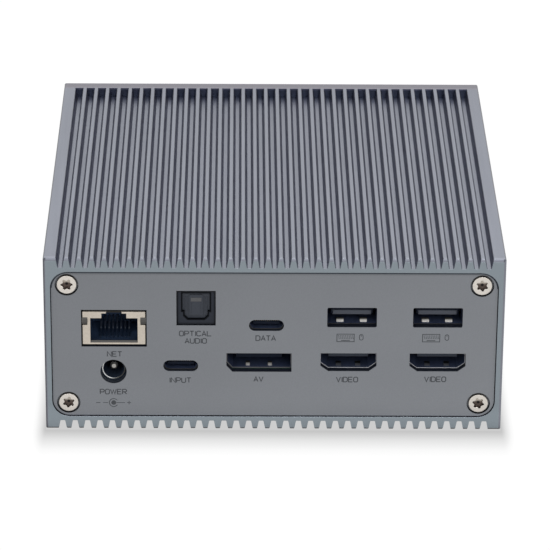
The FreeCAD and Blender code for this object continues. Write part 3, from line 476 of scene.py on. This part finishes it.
# Painted shade for the lines around the optical jack
rim_shade_finish = make_moulding("shaded_rim", (0.003, 0.0035, 0.005), roughness=0.6, grain=4000, gloss=0.05)
window_finish = make_moulding("shutter_window", (0.06, 0.06, 0.063), roughness=0.35, grain=4000, gloss=0.3)
tongue_finish = make_moulding("tongue_tip", (0.05, 0.056, 0.072), roughness=0.45, grain=6000, gloss=0.3)
spring_finish = make_spring_finish("plated_spring", (0.92, 0.89, 0.84))
# Darker copies of the spring metal: painted shade inside the monitor and video ports
monitor_spring_finish = make_spring_finish("monitor_spring", (0.46, 0.445, 0.42))
shaded_spring_finish = make_spring_finish("shaded_spring", (0.058, 0.062, 0.072))
tab_finish = make_metal("sprung_tab", (0.077, 0.074, 0.07), roughness=0.4)
# The sill is drawn darker than the shield's sheet: painted shade on its inner fold
sill_finish = make_metal("shield_sill", (0.075, 0.072, 0.068), roughness=0.45, grain=2200,
                         stretch=SHEET_STRETCH, metallic=0.6)
# Painted light on the bent tips of the network contacts
tip_finish = make_metal("contact_tip", (0.125, 0.14, 0.175), roughness=0.4, metallic=0.3)
gilt_finish = make_metal("gilded_strip", (0.6, 0.44, 0.2), roughness=0.3)
power_lip_finish = make_power_lip_finish()

NODE_FINISHES = {
    housing_finish: ["finned_housing"],
    plate_finish: ["front_panel"],
    panel_finish: ["rear_panel"],
    screw_finish: ["rear_panel_screws"],
    board_finish: ["lower_board", "upper_board"],
    jack_finish: ["stacking_header", "stacking_socket", "audio_jack_body"],
    network_finish: ["network_jack_insert"],
    optical_finish: ["optical_jack_body"],
    power_finish: ["power_jack_body"],
    chip_finish: ["hub_chip", "network_transformer"],
    pad_finish: ["chip_thermal_pad"],
    block_finish: ["heat_block"],
    ferrite_finish: ["power_inductors"],
    can_finish: ["bulk_capacitors"],
    shield_finish: ["network_jack_shield"],
    contact_finish: ["network_jack_contacts"],
    pin_finish: ["power_jack_pin"],
    shutter_finish: ["optical_shutter"],
    emitter_finish: ["optical_emitter"],
    shell_finish: ["left_video_port_shell", "right_video_port_shell"],
    monitor_shell_finish: ["monitor_port_shell"],
    dark_shell_finish: ["data_port_shell", "host_port_shell", "left_flat_port_shell", "right_flat_port_shell",
                        "front_flat_port_shell", "front_slim_port_shell"],
    video_insert_finish: ["left_video_port_insert", "right_video_port_insert"],
    insert_finish: [name for name in nodes if name.endswith("port_insert") and "video" not in name],
}
for finish, names in NODE_FINISHES.items():
    for name in names:
        materials = nodes[name].data.materials
        materials.clear()
        materials.append(finish.material)


# Meshes, drawn in the frame of the part

class Draft:
    """Points and faces of one piece."""

    def __init__(self):
        self.points, self.faces = [], []

    def loft(self, rings, caps=True):
        """Skin a row of rings that have the same number of points."""
        first, count = len(self.points), len(rings[0])
        for ring in rings:
            self.points += ring
        for row in range(len(rings) - 1):
            here, there = first + row * count, first + (row + 1) * count
            for step in range(count):
                after = (step + 1) % count
                self.faces.append((here + step, here + after, there + after, there + step))
        if caps:
            last = first + (len(rings) - 1) * count
            self.faces.append(tuple(range(first + count - 1, first - 1, -1)))
            self.faces.append(tuple(range(last, last + count)))

    def plate(self, outline, front, back):
        """A flat plate in the plane of the port panel, by its outline of (x, z) corners."""
        self.loft([[(x, depth, z) for x, z in outline] for depth in (front, back)])

    def ribbon(self, path, width, front, back, closed=False):
        """A drawn line of even width along (x, z) points, with mitred corners."""
        count = len(path)
        points = [Vector(point) for point in path]
        rings = []
        for i, point in enumerate(points):
            before = points[i - 1] if closed or i else None
            after = points[(i + 1) % count] if closed or i < count - 1 else None
            ways = [(end - start).normalized() for start, end in ((before, point), (point, after))
                    if start is not None and end is not None]
            sides = [Vector((-way.y, way.x)) for way in ways]
            side = sum(sides, Vector((0, 0))).normalized()
            side *= width / 2 / max(side.dot(sides[0]), 0.5)
            left, right = point + side, point - side
            rings.append([(left.x, front, left.y), (right.x, front, right.y),
                          (right.x, back, right.y), (left.x, back, left.y)])
        if closed:
            rings.append(rings[0])
        self.loft(rings, caps=not closed)

    def piece(self, name, finish, body="dock", smooth=False):
        """Make the piece with its finish; it rides on a body."""
        mesh = bpy.data.meshes.new(name)
        mesh.from_pydata([Vector(point) * MM for point in self.points], [], self.faces)
        mesh.validate()
        mesh.materials.append(finish.material)
        for face in mesh.polygons:
            face.use_smooth = smooth
        thing = add_object(name, mesh)
        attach(thing, body)


def arc(x, z, radius, steps=28, start=0.0, sweep=360.0):
    """Points of a circle or an arc, in degrees."""
    turns = [math.radians(start + sweep * step / steps) for step in range(steps + (sweep < 360))]
    return [(x + radius * math.cos(turn), z + radius * math.sin(turn)) for turn in turns]


def section(x, half_width, y, base, top):
    """Corners of an upright section across a strip that runs into a port."""
    return [(x - half_width, y, base), (x + half_width, y, base), (x + half_width, y, top), (x - half_width, y, top)]


# Marks on the port panel, in a plain drawn alphabet on a cell of 4 by 6

LETTERS = {
    "A": [[(0, 0), (2, 6), (4, 0)], [(0.75, 1.9), (3.25, 1.9)]],
    "C": [[(4, 5), (3, 6), (1, 6), (0, 5), (0, 1), (1, 0), (3, 0), (4, 1)]],
    "D": [[(0, 0), (0, 6), (2.8, 6), (4, 4.8), (4, 1.2), (2.8, 0), (0, 0)]],
    "E": [[(4, 6), (0, 6), (0, 0), (4, 0)], [(0.2, 3), (3.4, 3)]],
    "I": [[(0.5, 0), (0.5, 6)]],
    "L": [[(0, 6), (0, 0), (4, 0)]],
    "N": [[(0, 0), (0, 6), (4, 0), (4, 6)]],
    "O": [[(0, 1), (0, 5), (1, 6), (3, 6), (4, 5), (4, 1), (3, 0), (1, 0), (0, 1)]],
    "P": [[(0, 0), (0, 6), (3, 6), (4, 5.1), (4, 3.5), (3, 2.6), (0.2, 2.6)]],
    "R": [[(0, 0), (0, 6), (3, 6), (4, 5.1), (4, 3.7), (3, 2.8), (0.2, 2.8)], [(2, 2.6), (4, 0)]],
    "T": [[(0, 6), (4, 6)], [(2, 5.8), (2, 0)]],
    "U": [[(0, 6), (0, 1), (1, 0), (3, 0), (4, 1), (4, 6)]],
    "V": [[(0, 6), (2, 0), (4, 6)]],
    "W": [[(0, 6), (1.4, 0), (2.8, 5.4), (4.2, 0), (5.6, 6)]],
}
CELL_HEIGHT = 6
LETTER_HEIGHT = 1.32
LETTER_STRETCH = 1.15
LETTER_GAP = 1.2
STROKE = 0.25
PROUD = 0.012
INK_FRONT, INK_BACK = PANEL_FACE - PROUD, PANEL_FACE + 0.01


def port_opening(port):
    """Middle and lower edge of a port's opening."""
    shell = f"{port}_port_shell"
    return middle(shell).x, low_corner(shell).z + SHELL_WALL


# Middle and lower edge of each opening in the panel
OPENINGS = {
    "network": (network.x, low_corner("network_jack_shield").z - 0.6),
    "optical": (middle("optical_jack_body").x, high_corner("optical_jack_body").z - 9.44),
    "power": (power.x, power.z - 3.32),
}
for port in ("data", "host", "monitor", "left_video", "right_video", "left_flat", "right_flat"):
    OPENINGS[port] = port_opening(port)

# Words under the openings, with their shift across and their drop under the lower edge
WORDS = {
    "network": [("NET", 0.07, 2.05)],
    "optical": [("OPTICAL", -0.2, 2.25), ("AUDIO", -0.1, 4.3)],
    "power": [("POWER", -0.1, 2.35)],
    "data": [("DATA", -0.17, 2.25)],
    "host": [("INPUT", -0.15, 2.75)],
    "monitor": [("AV", -0.1, 2.38)],
    "left_video": [("VIDEO", -0.3, 2.45)],
    "right_video": [("VIDEO", -0.5, 2.3)],
}


def ink(draft, path, width, closed=False):
    """Print a line on the panel."""
    draft.ribbon(path, width, INK_FRONT, INK_BACK, closed)


def add_word(draft, word, x, z):
    """Print a word about its middle."""
    unit = LETTER_HEIGHT / CELL_HEIGHT
    wide = unit * LETTER_STRETCH
    spans = [max(px for path in LETTERS[letter] for px, _ in path) for letter in word]
    cursor = x - (sum(spans) + LETTER_GAP * (len(word) - 1)) * wide / 2
    for letter, span in zip(word, spans):
        for path in LETTERS[letter]:
            closed = path[0] == path[-1]
            points = [(cursor + px * wide, z + (pz - CELL_HEIGHT / 2) * unit)
                      for px, pz in (path[:-1] if closed else path)]
            ink(draft, points, STROKE, closed)
        cursor += (span + LETTER_GAP) * wide


def mark_words(port, words):
    """Print the words under an opening."""
    x, foot = OPENINGS[port]
    draft = Draft()
    for word, shift, drop in words:
        add_word(draft, word, x + shift, foot - drop)
    draft.piece(f"mark_{port}", ink_finish)


def mark_polarity():
    """Centre-positive plug: minus, line, dot in an open ring, line, plus."""
    x, foot = OPENINGS["power"]
    x, z = x - 0.05, foot - 5.45
    thin, plus = 0.16, 3.9
    draft = Draft()
    draft.plate(arc(x, z, 0.62), INK_FRONT, INK_BACK)
    ink(draft, arc(x, z, 1.12, start=35, sweep=290), 0.19)
    for start, end in ((-4.5, -3.4), (-2.7, -1.45), (0.7, 2.85), (plus - 0.5, plus + 0.5)):
        ink(draft, [(x + start, z), (x + end, z)], thin)
    for low, high in ((-0.5, -0.1), (0.1, 0.5)):
        ink(draft, [(x + plus, z + low), (x + plus, z + high)], thin)
    draft.piece("mark_polarity", ink_finish)


def draw_keyboard(draft, x, z):
    """A keyboard, in rows of keys over a long one."""
    left, right, low, high = x - 3.75, x + 0.6, z - 1.05, z + 1.05
    rows, columns, key_line = 3, 9, 0.2
    ink(draft, [(left, low), (right, low), (right, high), (left, high)], 0.19, closed=True)
    for row in range(rows):
        for column in range(columns):
            key_x, key_z = left + 0.42 + column * 0.44 + row * 0.08, high - 0.45 - row * 0.36
            ink(draft, [(key_x - 0.12, key_z), (key_x + 0.1, key_z)], key_line)
    ink(draft, [(x - 2.7, low + 0.35), (x - 0.5, low + 0.35)], key_line)


def draw_mouse(draft, x, z):
    """A mouse with its wheel."""
    half, radius, steps = 0.32, 0.46, 10
    ink(draft, arc(x, z + half, radius, steps, 0, 180) + arc(x, z - half, radius, steps, 180, 180), 0.18, closed=True)
    ink(draft, [(x, z + 0.6), (x, z + 0.2)], 0.16)


def mark_keyboard_mouse(port):
    """Print a keyboard and a mouse under a flat data port."""
    x, foot = OPENINGS[port]
    z = foot - 3.1
    draft = Draft()
    draw_keyboard(draft, x, z)
    draw_mouse(draft, x + 2.4, z + 0.18)
    draft.piece(f"mark_{port}", ink_finish)


for port, words in WORDS.items():
    mark_words(port, words)
mark_polarity()
mark_keyboard_mouse("left_flat")
mark_keyboard_mouse("right_flat")


# Small parts of the ports

# Depth behind the front edge, rise over the floor, and inset of the sides
SPRING_PATH = [(0.75, 0.03, 0.12), (0.85, 0.09, 0.0), (1.1, 0.2, 0.0), (1.4, 0.31, 0.0), (1.8, 0.4, 0.0),
               (2.2, 0.455, 0.0), (2.6, 0.42, 0.0), (3.0, 0.24, 0.0), (3.38, 0.05, 0.12)]
SPRING_THICKNESS = 0.1
# Depth behind the front edge, and inset of all sides
TONGUE_NOSE = [(-0.16, 0.14), (-0.05, 0.0), (0.05, 0.0)]
TONGUE_WIDTH, TONGUE_HEIGHT, TONGUE_DROP = 9.8, 1.25, 2.0
STRIP_NOSE, STRIP_DIP, STRIP_RISE, STRIP_ROOT = 0.12, -0.03, 0.04, 0.05


def front_edge(node, turned):
    """Where a node starts and which way it runs; a turned one looks out of the end plate."""
    return (high_corner(node).y, -1) if turned else (low_corner(node).y, 1)


def add_springs(port, finish, width, spacing, turned=False):
    """Two bowed contact springs on the floor of a port shell."""
    shell = f"{port}_shell"
    front, way = front_edge(shell, turned)
    floor, x = low_corner(shell).z + SHELL_WALL, middle(shell).x
    draft = Draft()
    for offset in (-spacing / 2, spacing / 2):
        draft.loft([section(x + offset, width / 2 - inset, front + way * depth,
                            floor + rise, floor + rise + SPRING_THICKNESS) for depth, rise, inset in SPRING_PATH])
    draft.piece(f"{port}_springs", finish)


def add_tongue_tip(port, turned=False):
    """Bevelled nose of a flat port's tongue."""
    insert = f"{port}_insert"
    front, way = front_edge(insert, turned)
    top, x = high_corner(f"{port}_shell").z - TONGUE_DROP, middle(insert).x
    draft = Draft()
    draft.loft([section(x, TONGUE_WIDTH / 2 - inset, front + way * depth, top - TONGUE_HEIGHT + inset, top - inset)
                for depth, inset in TONGUE_NOSE])
    draft.piece(f"{port}_tongue_tip", tongue_finish)


def add_strips(port, rise, count, pitch, width, start, length, turned=False):
    """A row of gilded strips on the upper side of a tongue, at a rise over the middle of its shell."""
    insert = f"{port}_insert"
    front, way = front_edge(insert, turned)
    x, face = middle(insert).x, middle(f"{port}_shell").z + rise
    path = [(start, STRIP_DIP), (start + STRIP_NOSE, STRIP_RISE), (start + length, STRIP_RISE)]
    draft = Draft()
    for step in range(count):
        place = x + (step - (count - 1) / 2) * pitch
        draft.loft([section(place, width / 2, front + way * depth, face - STRIP_ROOT, face + lift)
                    for depth, lift in path])
    draft.piece(f"{port}_strips", gilt_finish)


for port, turned in (("left_flat_port", False), ("right_flat_port", False), ("front_flat_port", True)):
    add_springs(port, spring_finish, width=1.81, spacing=5.9, turned=turned)
    add_tongue_tip(port, turned)
add_springs("monitor_port", monitor_spring_finish, width=1.01, spacing=5.6)
for port in ("left_video_port", "right_video_port"):
    add_springs(port, shaded_spring_finish, width=1.36, spacing=4.9)
    add_strips(port, rise=1.41, count=10, pitch=0.95, width=0.45, start=0.2, length=5.0)
add_strips("monitor_port", rise=0.5, count=10, pitch=1.0, width=0.5, start=0.2, length=5.0)
for port, turned in (("data_port", False), ("host_port", False), ("front_slim_port", True)):
    add_strips(port, rise=0.35, count=12, pitch=0.5, width=0.26, start=0.15, length=4.0, turned=turned)


# Network jack

SHIELD_WIDTH, MOUTH_WIDTH = 15.77, 11.93
TAB_RISE, TAB_OUT, TAB_IN, TAB_THICKNESS = 1.9, 0.22, 1.15, 0.18
# Height about the middle of a tab, and depth behind the front of the shield
TAB_PATH = [(-1.0, 0.2), (-0.75, 0.0), (-0.1, -0.22), (0.6, -0.1), (1.0, 0.2)]
CONTACTS, CONTACT_PITCH, CONTACT_SHIFT, CONTACT_THICKNESS = 8, 1.02, 0.06, 0.3
# Depth along a contact, lift over it, and half of the width
TIP_PATH = [(3.5, 0.02, 0.08), (3.65, 0.1, 0.15), (3.9, 0.13, 0.16), (4.15, 0.1, 0.15), (4.3, 0.02, 0.08)]
TIP_ROOT = 0.1
SILL_RISE, SILL_THICKNESS = 0.45, 0.1
# Depth behind the front of the shield, and rise of the sill
SILL_PATH = [(0.02, -0.06), (0.25, 0.12), (0.5, 0.4), (0.58, 0.42)]


def add_network_tabs():
    """Sprung tabs at the sides of the network jack."""
    front, middle_z = low_corner("network_jack_shield").y, network.z + TAB_RISE
    draft = Draft()
    for side in (-1, 1):
        outer = network.x + side * (SHIELD_WIDTH / 2 + TAB_OUT)
        inner = network.x + side * (SHIELD_WIDTH / 2 - TAB_IN)
        rings = []
        for rise, depth in TAB_PATH:
            near, far, z = front + depth, front + depth + TAB_THICKNESS, middle_z + rise
            rings.append([(outer, near, z), (inner, near, z), (inner, far, z), (outer, far, z)])
        draft.loft(rings)
    draft.piece("network_jack_tabs", tab_finish)


def add_contact_tips():
    """Bent tips of the network jack's contacts."""
    low, high = low_corner("network_jack_contacts"), high_corner("network_jack_contacts")
    slope = (high.z - low.z - CONTACT_THICKNESS) / (high.y - low.y)
    draft = Draft()
    for step in range(CONTACTS):
        x = network.x + CONTACT_SHIFT + (step - (CONTACTS - 1) / 2) * CONTACT_PITCH
        rings = []
        for depth, lift, half_width in TIP_PATH:
            z = low.z + CONTACT_THICKNESS + slope * depth
            rings.append(section(x, half_width, low.y + depth, z - TIP_ROOT, z + lift))
        draft.loft(rings)
    draft.piece("network_contact_tips", tip_finish)


def add_network_sill():
    """Rounded lower sill in the mouth of the network jack, in painted shade."""
    shield = low_corner("network_jack_shield")
    left, right = network.x - MOUTH_WIDTH / 2, network.x + MOUTH_WIDTH / 2
    rings = []
    for depth, rise in SILL_PATH:
        near, top = shield.y + depth, shield.z + SILL_RISE + rise
        far, base = near + SILL_THICKNESS, top - SILL_THICKNESS
        rings.append([(left, near, top), (right, near, top), (right, far, base), (left, far, base)])
    draft = Draft()
    draft.loft(rings)
    draft.piece("network_jack_sill", sill_finish)


add_network_tabs()
add_contact_tips()
add_network_sill()


# Optical jack

shutter_low, shutter_high = low_corner("optical_shutter"), high_corner("optical_shutter")
shutter_x, shutter_face = middle("optical_shutter").x, shutter_low.y
WINDOW_HALF, WINDOW_LOW, WINDOW_HIGH, WINDOW_RELIEF = 1.35, 2.3, 1.25, 0.05
OUTER_LINES, INNER_LINES = (-2.75, -2.2, 2.2, 2.75), (-1.2, 1.2)
MOUTH_DROP, MOUTH_LEDGE, MOUTH_BASE = 0.6, 5.2, 7.4
MOUTH_WIDE, MOUTH_NARROW, MOUTH_CORNER = 3.65, 3.12, 1.0
RIM_LINE, RIM_PROUD, RIM_SIDE = 0.3, 0.03, 4.74


def add_shutter_window():
    """Small pale window of the shutter."""
    left, right = shutter_x - WINDOW_HALF, shutter_x + WINDOW_HALF
    low, high = shutter_high.z - WINDOW_LOW, shutter_high.z - WINDOW_HIGH
    draft = Draft()
    draft.plate([(left, low), (right, low), (right, high), (left, high)],
                shutter_face - WINDOW_RELIEF, shutter_face + WINDOW_RELIEF)
    draft.piece("shutter_window", window_finish, "shutter")


def add_shutter_lines():
    """Raised lines on the shutter, two at each side and two under the window."""
    draft = Draft()
    for x in [shutter_x + offset for offset in OUTER_LINES]:
        draft.ribbon([(x, shutter_low.z + 1.9), (x, shutter_high.z - 1.0)], 0.16,
                     shutter_face + 0.13, shutter_face + 0.3)
    for x in [shutter_x + offset for offset in INNER_LINES]:
        draft.ribbon([(x, shutter_low.z + 1.4), (x, shutter_high.z - 2.5)], 0.12,
                     shutter_face - 0.06, shutter_face + 0.05)
    draft.piece("shutter_lines", shutter_finish, "shutter")


def add_optical_shade_lines():
    """Painted shade: dark lines around the stepped mouth of the jack, and along the top and the sides of its body."""
    x, front = shutter_x, low_corner("optical_jack_body").y
    top = high_corner("optical_jack_body").z - MOUTH_DROP
    ledge, base = top - MOUTH_LEDGE, top - MOUTH_BASE
    half = [(MOUTH_WIDE, top), (MOUTH_WIDE, ledge), (MOUTH_NARROW, ledge), (MOUTH_NARROW, base + MOUTH_CORNER),
            (MOUTH_NARROW - MOUTH_CORNER, base)]
    draft = Draft()
    draft.ribbon([(x - off, z) for off, z in half] + [(x + off, z) for off, z in reversed(half)],
                 RIM_LINE, front - RIM_PROUD, front + 0.3, closed=True)
    draft.ribbon([(x - 4.75, top + 0.44), (x + 4.75, top + 0.44)], RIM_LINE, front - RIM_PROUD, front + 0.1)
    for edge in (x - RIM_SIDE, x + RIM_SIDE):
        draft.ribbon([(edge, top + 0.55), (edge, top - 8.65)], 0.1, front - RIM_PROUD, front + 0.1)
    draft.piece("optical_jack_shade_lines", rim_shade_finish)


add_shutter_window()
add_shutter_lines()
add_optical_shade_lines()


# Painted shadow under the upper lip, and power jack

# Painted shadow line under the upper lip
LIP_SHADOW_SIDE, LIP_SHADOW_DROP, LIP_SHADOW_CORNER, LIP_SHADOW_LINE = 0.12, 0.18, 4.18, 0.27
# Radius, and depth behind the front of the jack
POWER_LIP = [(2.6, 0.15), (2.64, -0.02), (2.76, -0.12), (2.9, -0.14), (3.02, -0.1), (3.09, 0.02), (3.1, 0.15)]
POWER_LIP_STEPS = 48


def add_lip_shadow_line():
    """Painted shadow: a dark line on the panel under the upper lip of the extrusion."""
    x, z = PANEL_SIDE - LIP_SHADOW_SIDE - LIP_SHADOW_CORNER, PANEL_TOP - LIP_SHADOW_DROP - LIP_SHADOW_CORNER
    path = arc(x, z, LIP_SHADOW_CORNER, 10, 0, 90) + arc(-x, z, LIP_SHADOW_CORNER, 10, 90, 90)
    draft = Draft()
    draft.ribbon(path, LIP_SHADOW_LINE, PANEL_FACE - PROUD, PANEL_FACE + 0.05)
    draft.piece("lip_shadow_line", lip_shadow_finish)


def add_power_lip():
    """Rounded rim on the nose of the power jack."""
    front = low_corner("power_jack_body").y
    rings = []
    for step in range(POWER_LIP_STEPS):
        turn = math.tau * step / POWER_LIP_STEPS
        rings.append([(power.x + radius * math.cos(turn), front + depth, power.z + radius * math.sin(turn))
                      for radius, depth in POWER_LIP])
    draft = Draft()
    draft.loft(rings + rings[:1], caps=False)
    draft.piece("power_jack_lip", power_lip_finish, smooth=True)


add_lip_shadow_line()
add_power_lip()


# Stage, light and camera

FLOOR_REACH = 3.0
FLOOR_GLOW = 1.02
SHADOW_REACH = 8
SHADOW_SQUEEZE = (1.75, 0.42, 1)
# Share of the reach, and brightness of the floor there
SHADOW_LEVELS = [(0.0, 0.6), (0.05, 0.545), (0.3, 0.755), (0.6, 0.935), (0.83, 1.0)]
# Place, target, size in metres and power in watts
LIGHTS = {
    "overhead": ((0.15, 0.2, 0.9), (0, 0, 0.04), 0.3, 2.0),
    "front_fill": ((0.3, -1.1, 0.6), (0, -0.05, 0.03), 0.5, 3.0),
    "key": ((-0.55, -0.7, 0.75), (0, -0.05, 0.03), 0.14, 1.2),
}
SKY_COLOUR, SKY_STRENGTH = (0.97, 0.985, 1.0, 1), 1.2
CAMERA_PLACE, CAMERA_TURN = (-9.219, -853.049, 404.755), (65.4918, -0.4271, -0.4771)
CAMERA_LENS, CAMERA_SENSOR = 227.868, 36.0


def make_floor_finish():
    """White that glows evenly, with a painted shadow that falls off softly where the part stands on it."""
    finish = Finish("floor", (0.9, 0.9, 0.9))

    def step(operation, first, second=(0, 0, 0)):
        return finish.add("ShaderNodeVectorMath", {0: first, 1: second}, operation=operation).outputs

    from_middle = step("ABSOLUTE", finish.place)[0]
    beyond = step("SUBTRACT", from_middle, (HALF_WIDTH * MM, HALF_DEPTH * MM, 0))[0]
    outside = step("MAXIMUM", beyond)[0]
    away = step("LENGTH", step("MULTIPLY", outside, SHADOW_SQUEEZE)[0])["Value"]
    ramp = finish.add("ShaderNodeValToRGB", {0: finish.remap(away, 0, SHADOW_REACH * MM)})
    stops = ramp.color_ramp.elements
    stops[0].position, stops[1].position = SHADOW_LEVELS[0][0], SHADOW_LEVELS[-1][0]
    for place, _ in SHADOW_LEVELS[1:-1]:
        stops.new(place)
    for stop, (_, level) in zip(stops, SHADOW_LEVELS):
        stop.color = (level, level, level, 1)
    glow = finish.add("ShaderNodeEmission", {"Color": ramp.outputs[0], "Strength": FLOOR_GLOW})
    finish.tree.links.new(glow.outputs[0], finish.tree.nodes["Material Output"].inputs["Surface"])
    return finish


def make_floor():
    corners = [(-1, -1), (1, -1), (1, 1), (-1, 1)]
    mesh = bpy.data.meshes.new("floor")
    mesh.from_pydata([(x * FLOOR_REACH, y * FLOOR_REACH, 0) for x, y in corners], [], [(0, 1, 2, 3)])
    mesh.materials.append(make_floor_finish().material)
    floor = add_object("floor", mesh)


def make_light(name, place, target, size, watts):
    light = bpy.data.lights.new(name, "AREA")
    light.size, light.energy = size, watts
    lamp = add_object(name, light)
    lamp.location = place
    lamp.rotation_euler = (Vector(target) - Vector(place)).to_track_quat("-Z", "Y").to_euler()


def make_camera():
    camera = bpy.data.cameras.new("camera")
    camera.lens, camera.sensor_width = CAMERA_LENS, CAMERA_SENSOR
    camera.clip_start, camera.clip_end = 0.05, 20
    viewer = add_object("camera", camera)
    viewer.location = Vector(CAMERA_PLACE) * MM
    viewer.rotation_euler = [math.radians(angle) for angle in CAMERA_TURN]
    bpy.context.scene.camera = viewer


def make_world():
    world = bpy.data.worlds.new("studio")
    world.use_nodes = True
    backdrop = world.node_tree.nodes["Background"]
    backdrop.inputs["Color"].default_value = SKY_COLOUR
    backdrop.inputs["Strength"].default_value = SKY_STRENGTH
    bpy.context.scene.world = world


make_floor()
make_world()
for name, settings in LIGHTS.items():
    make_light(name, *settings)
make_camera()
bpy.context.scene.view_settings.view_transform = "Standard"
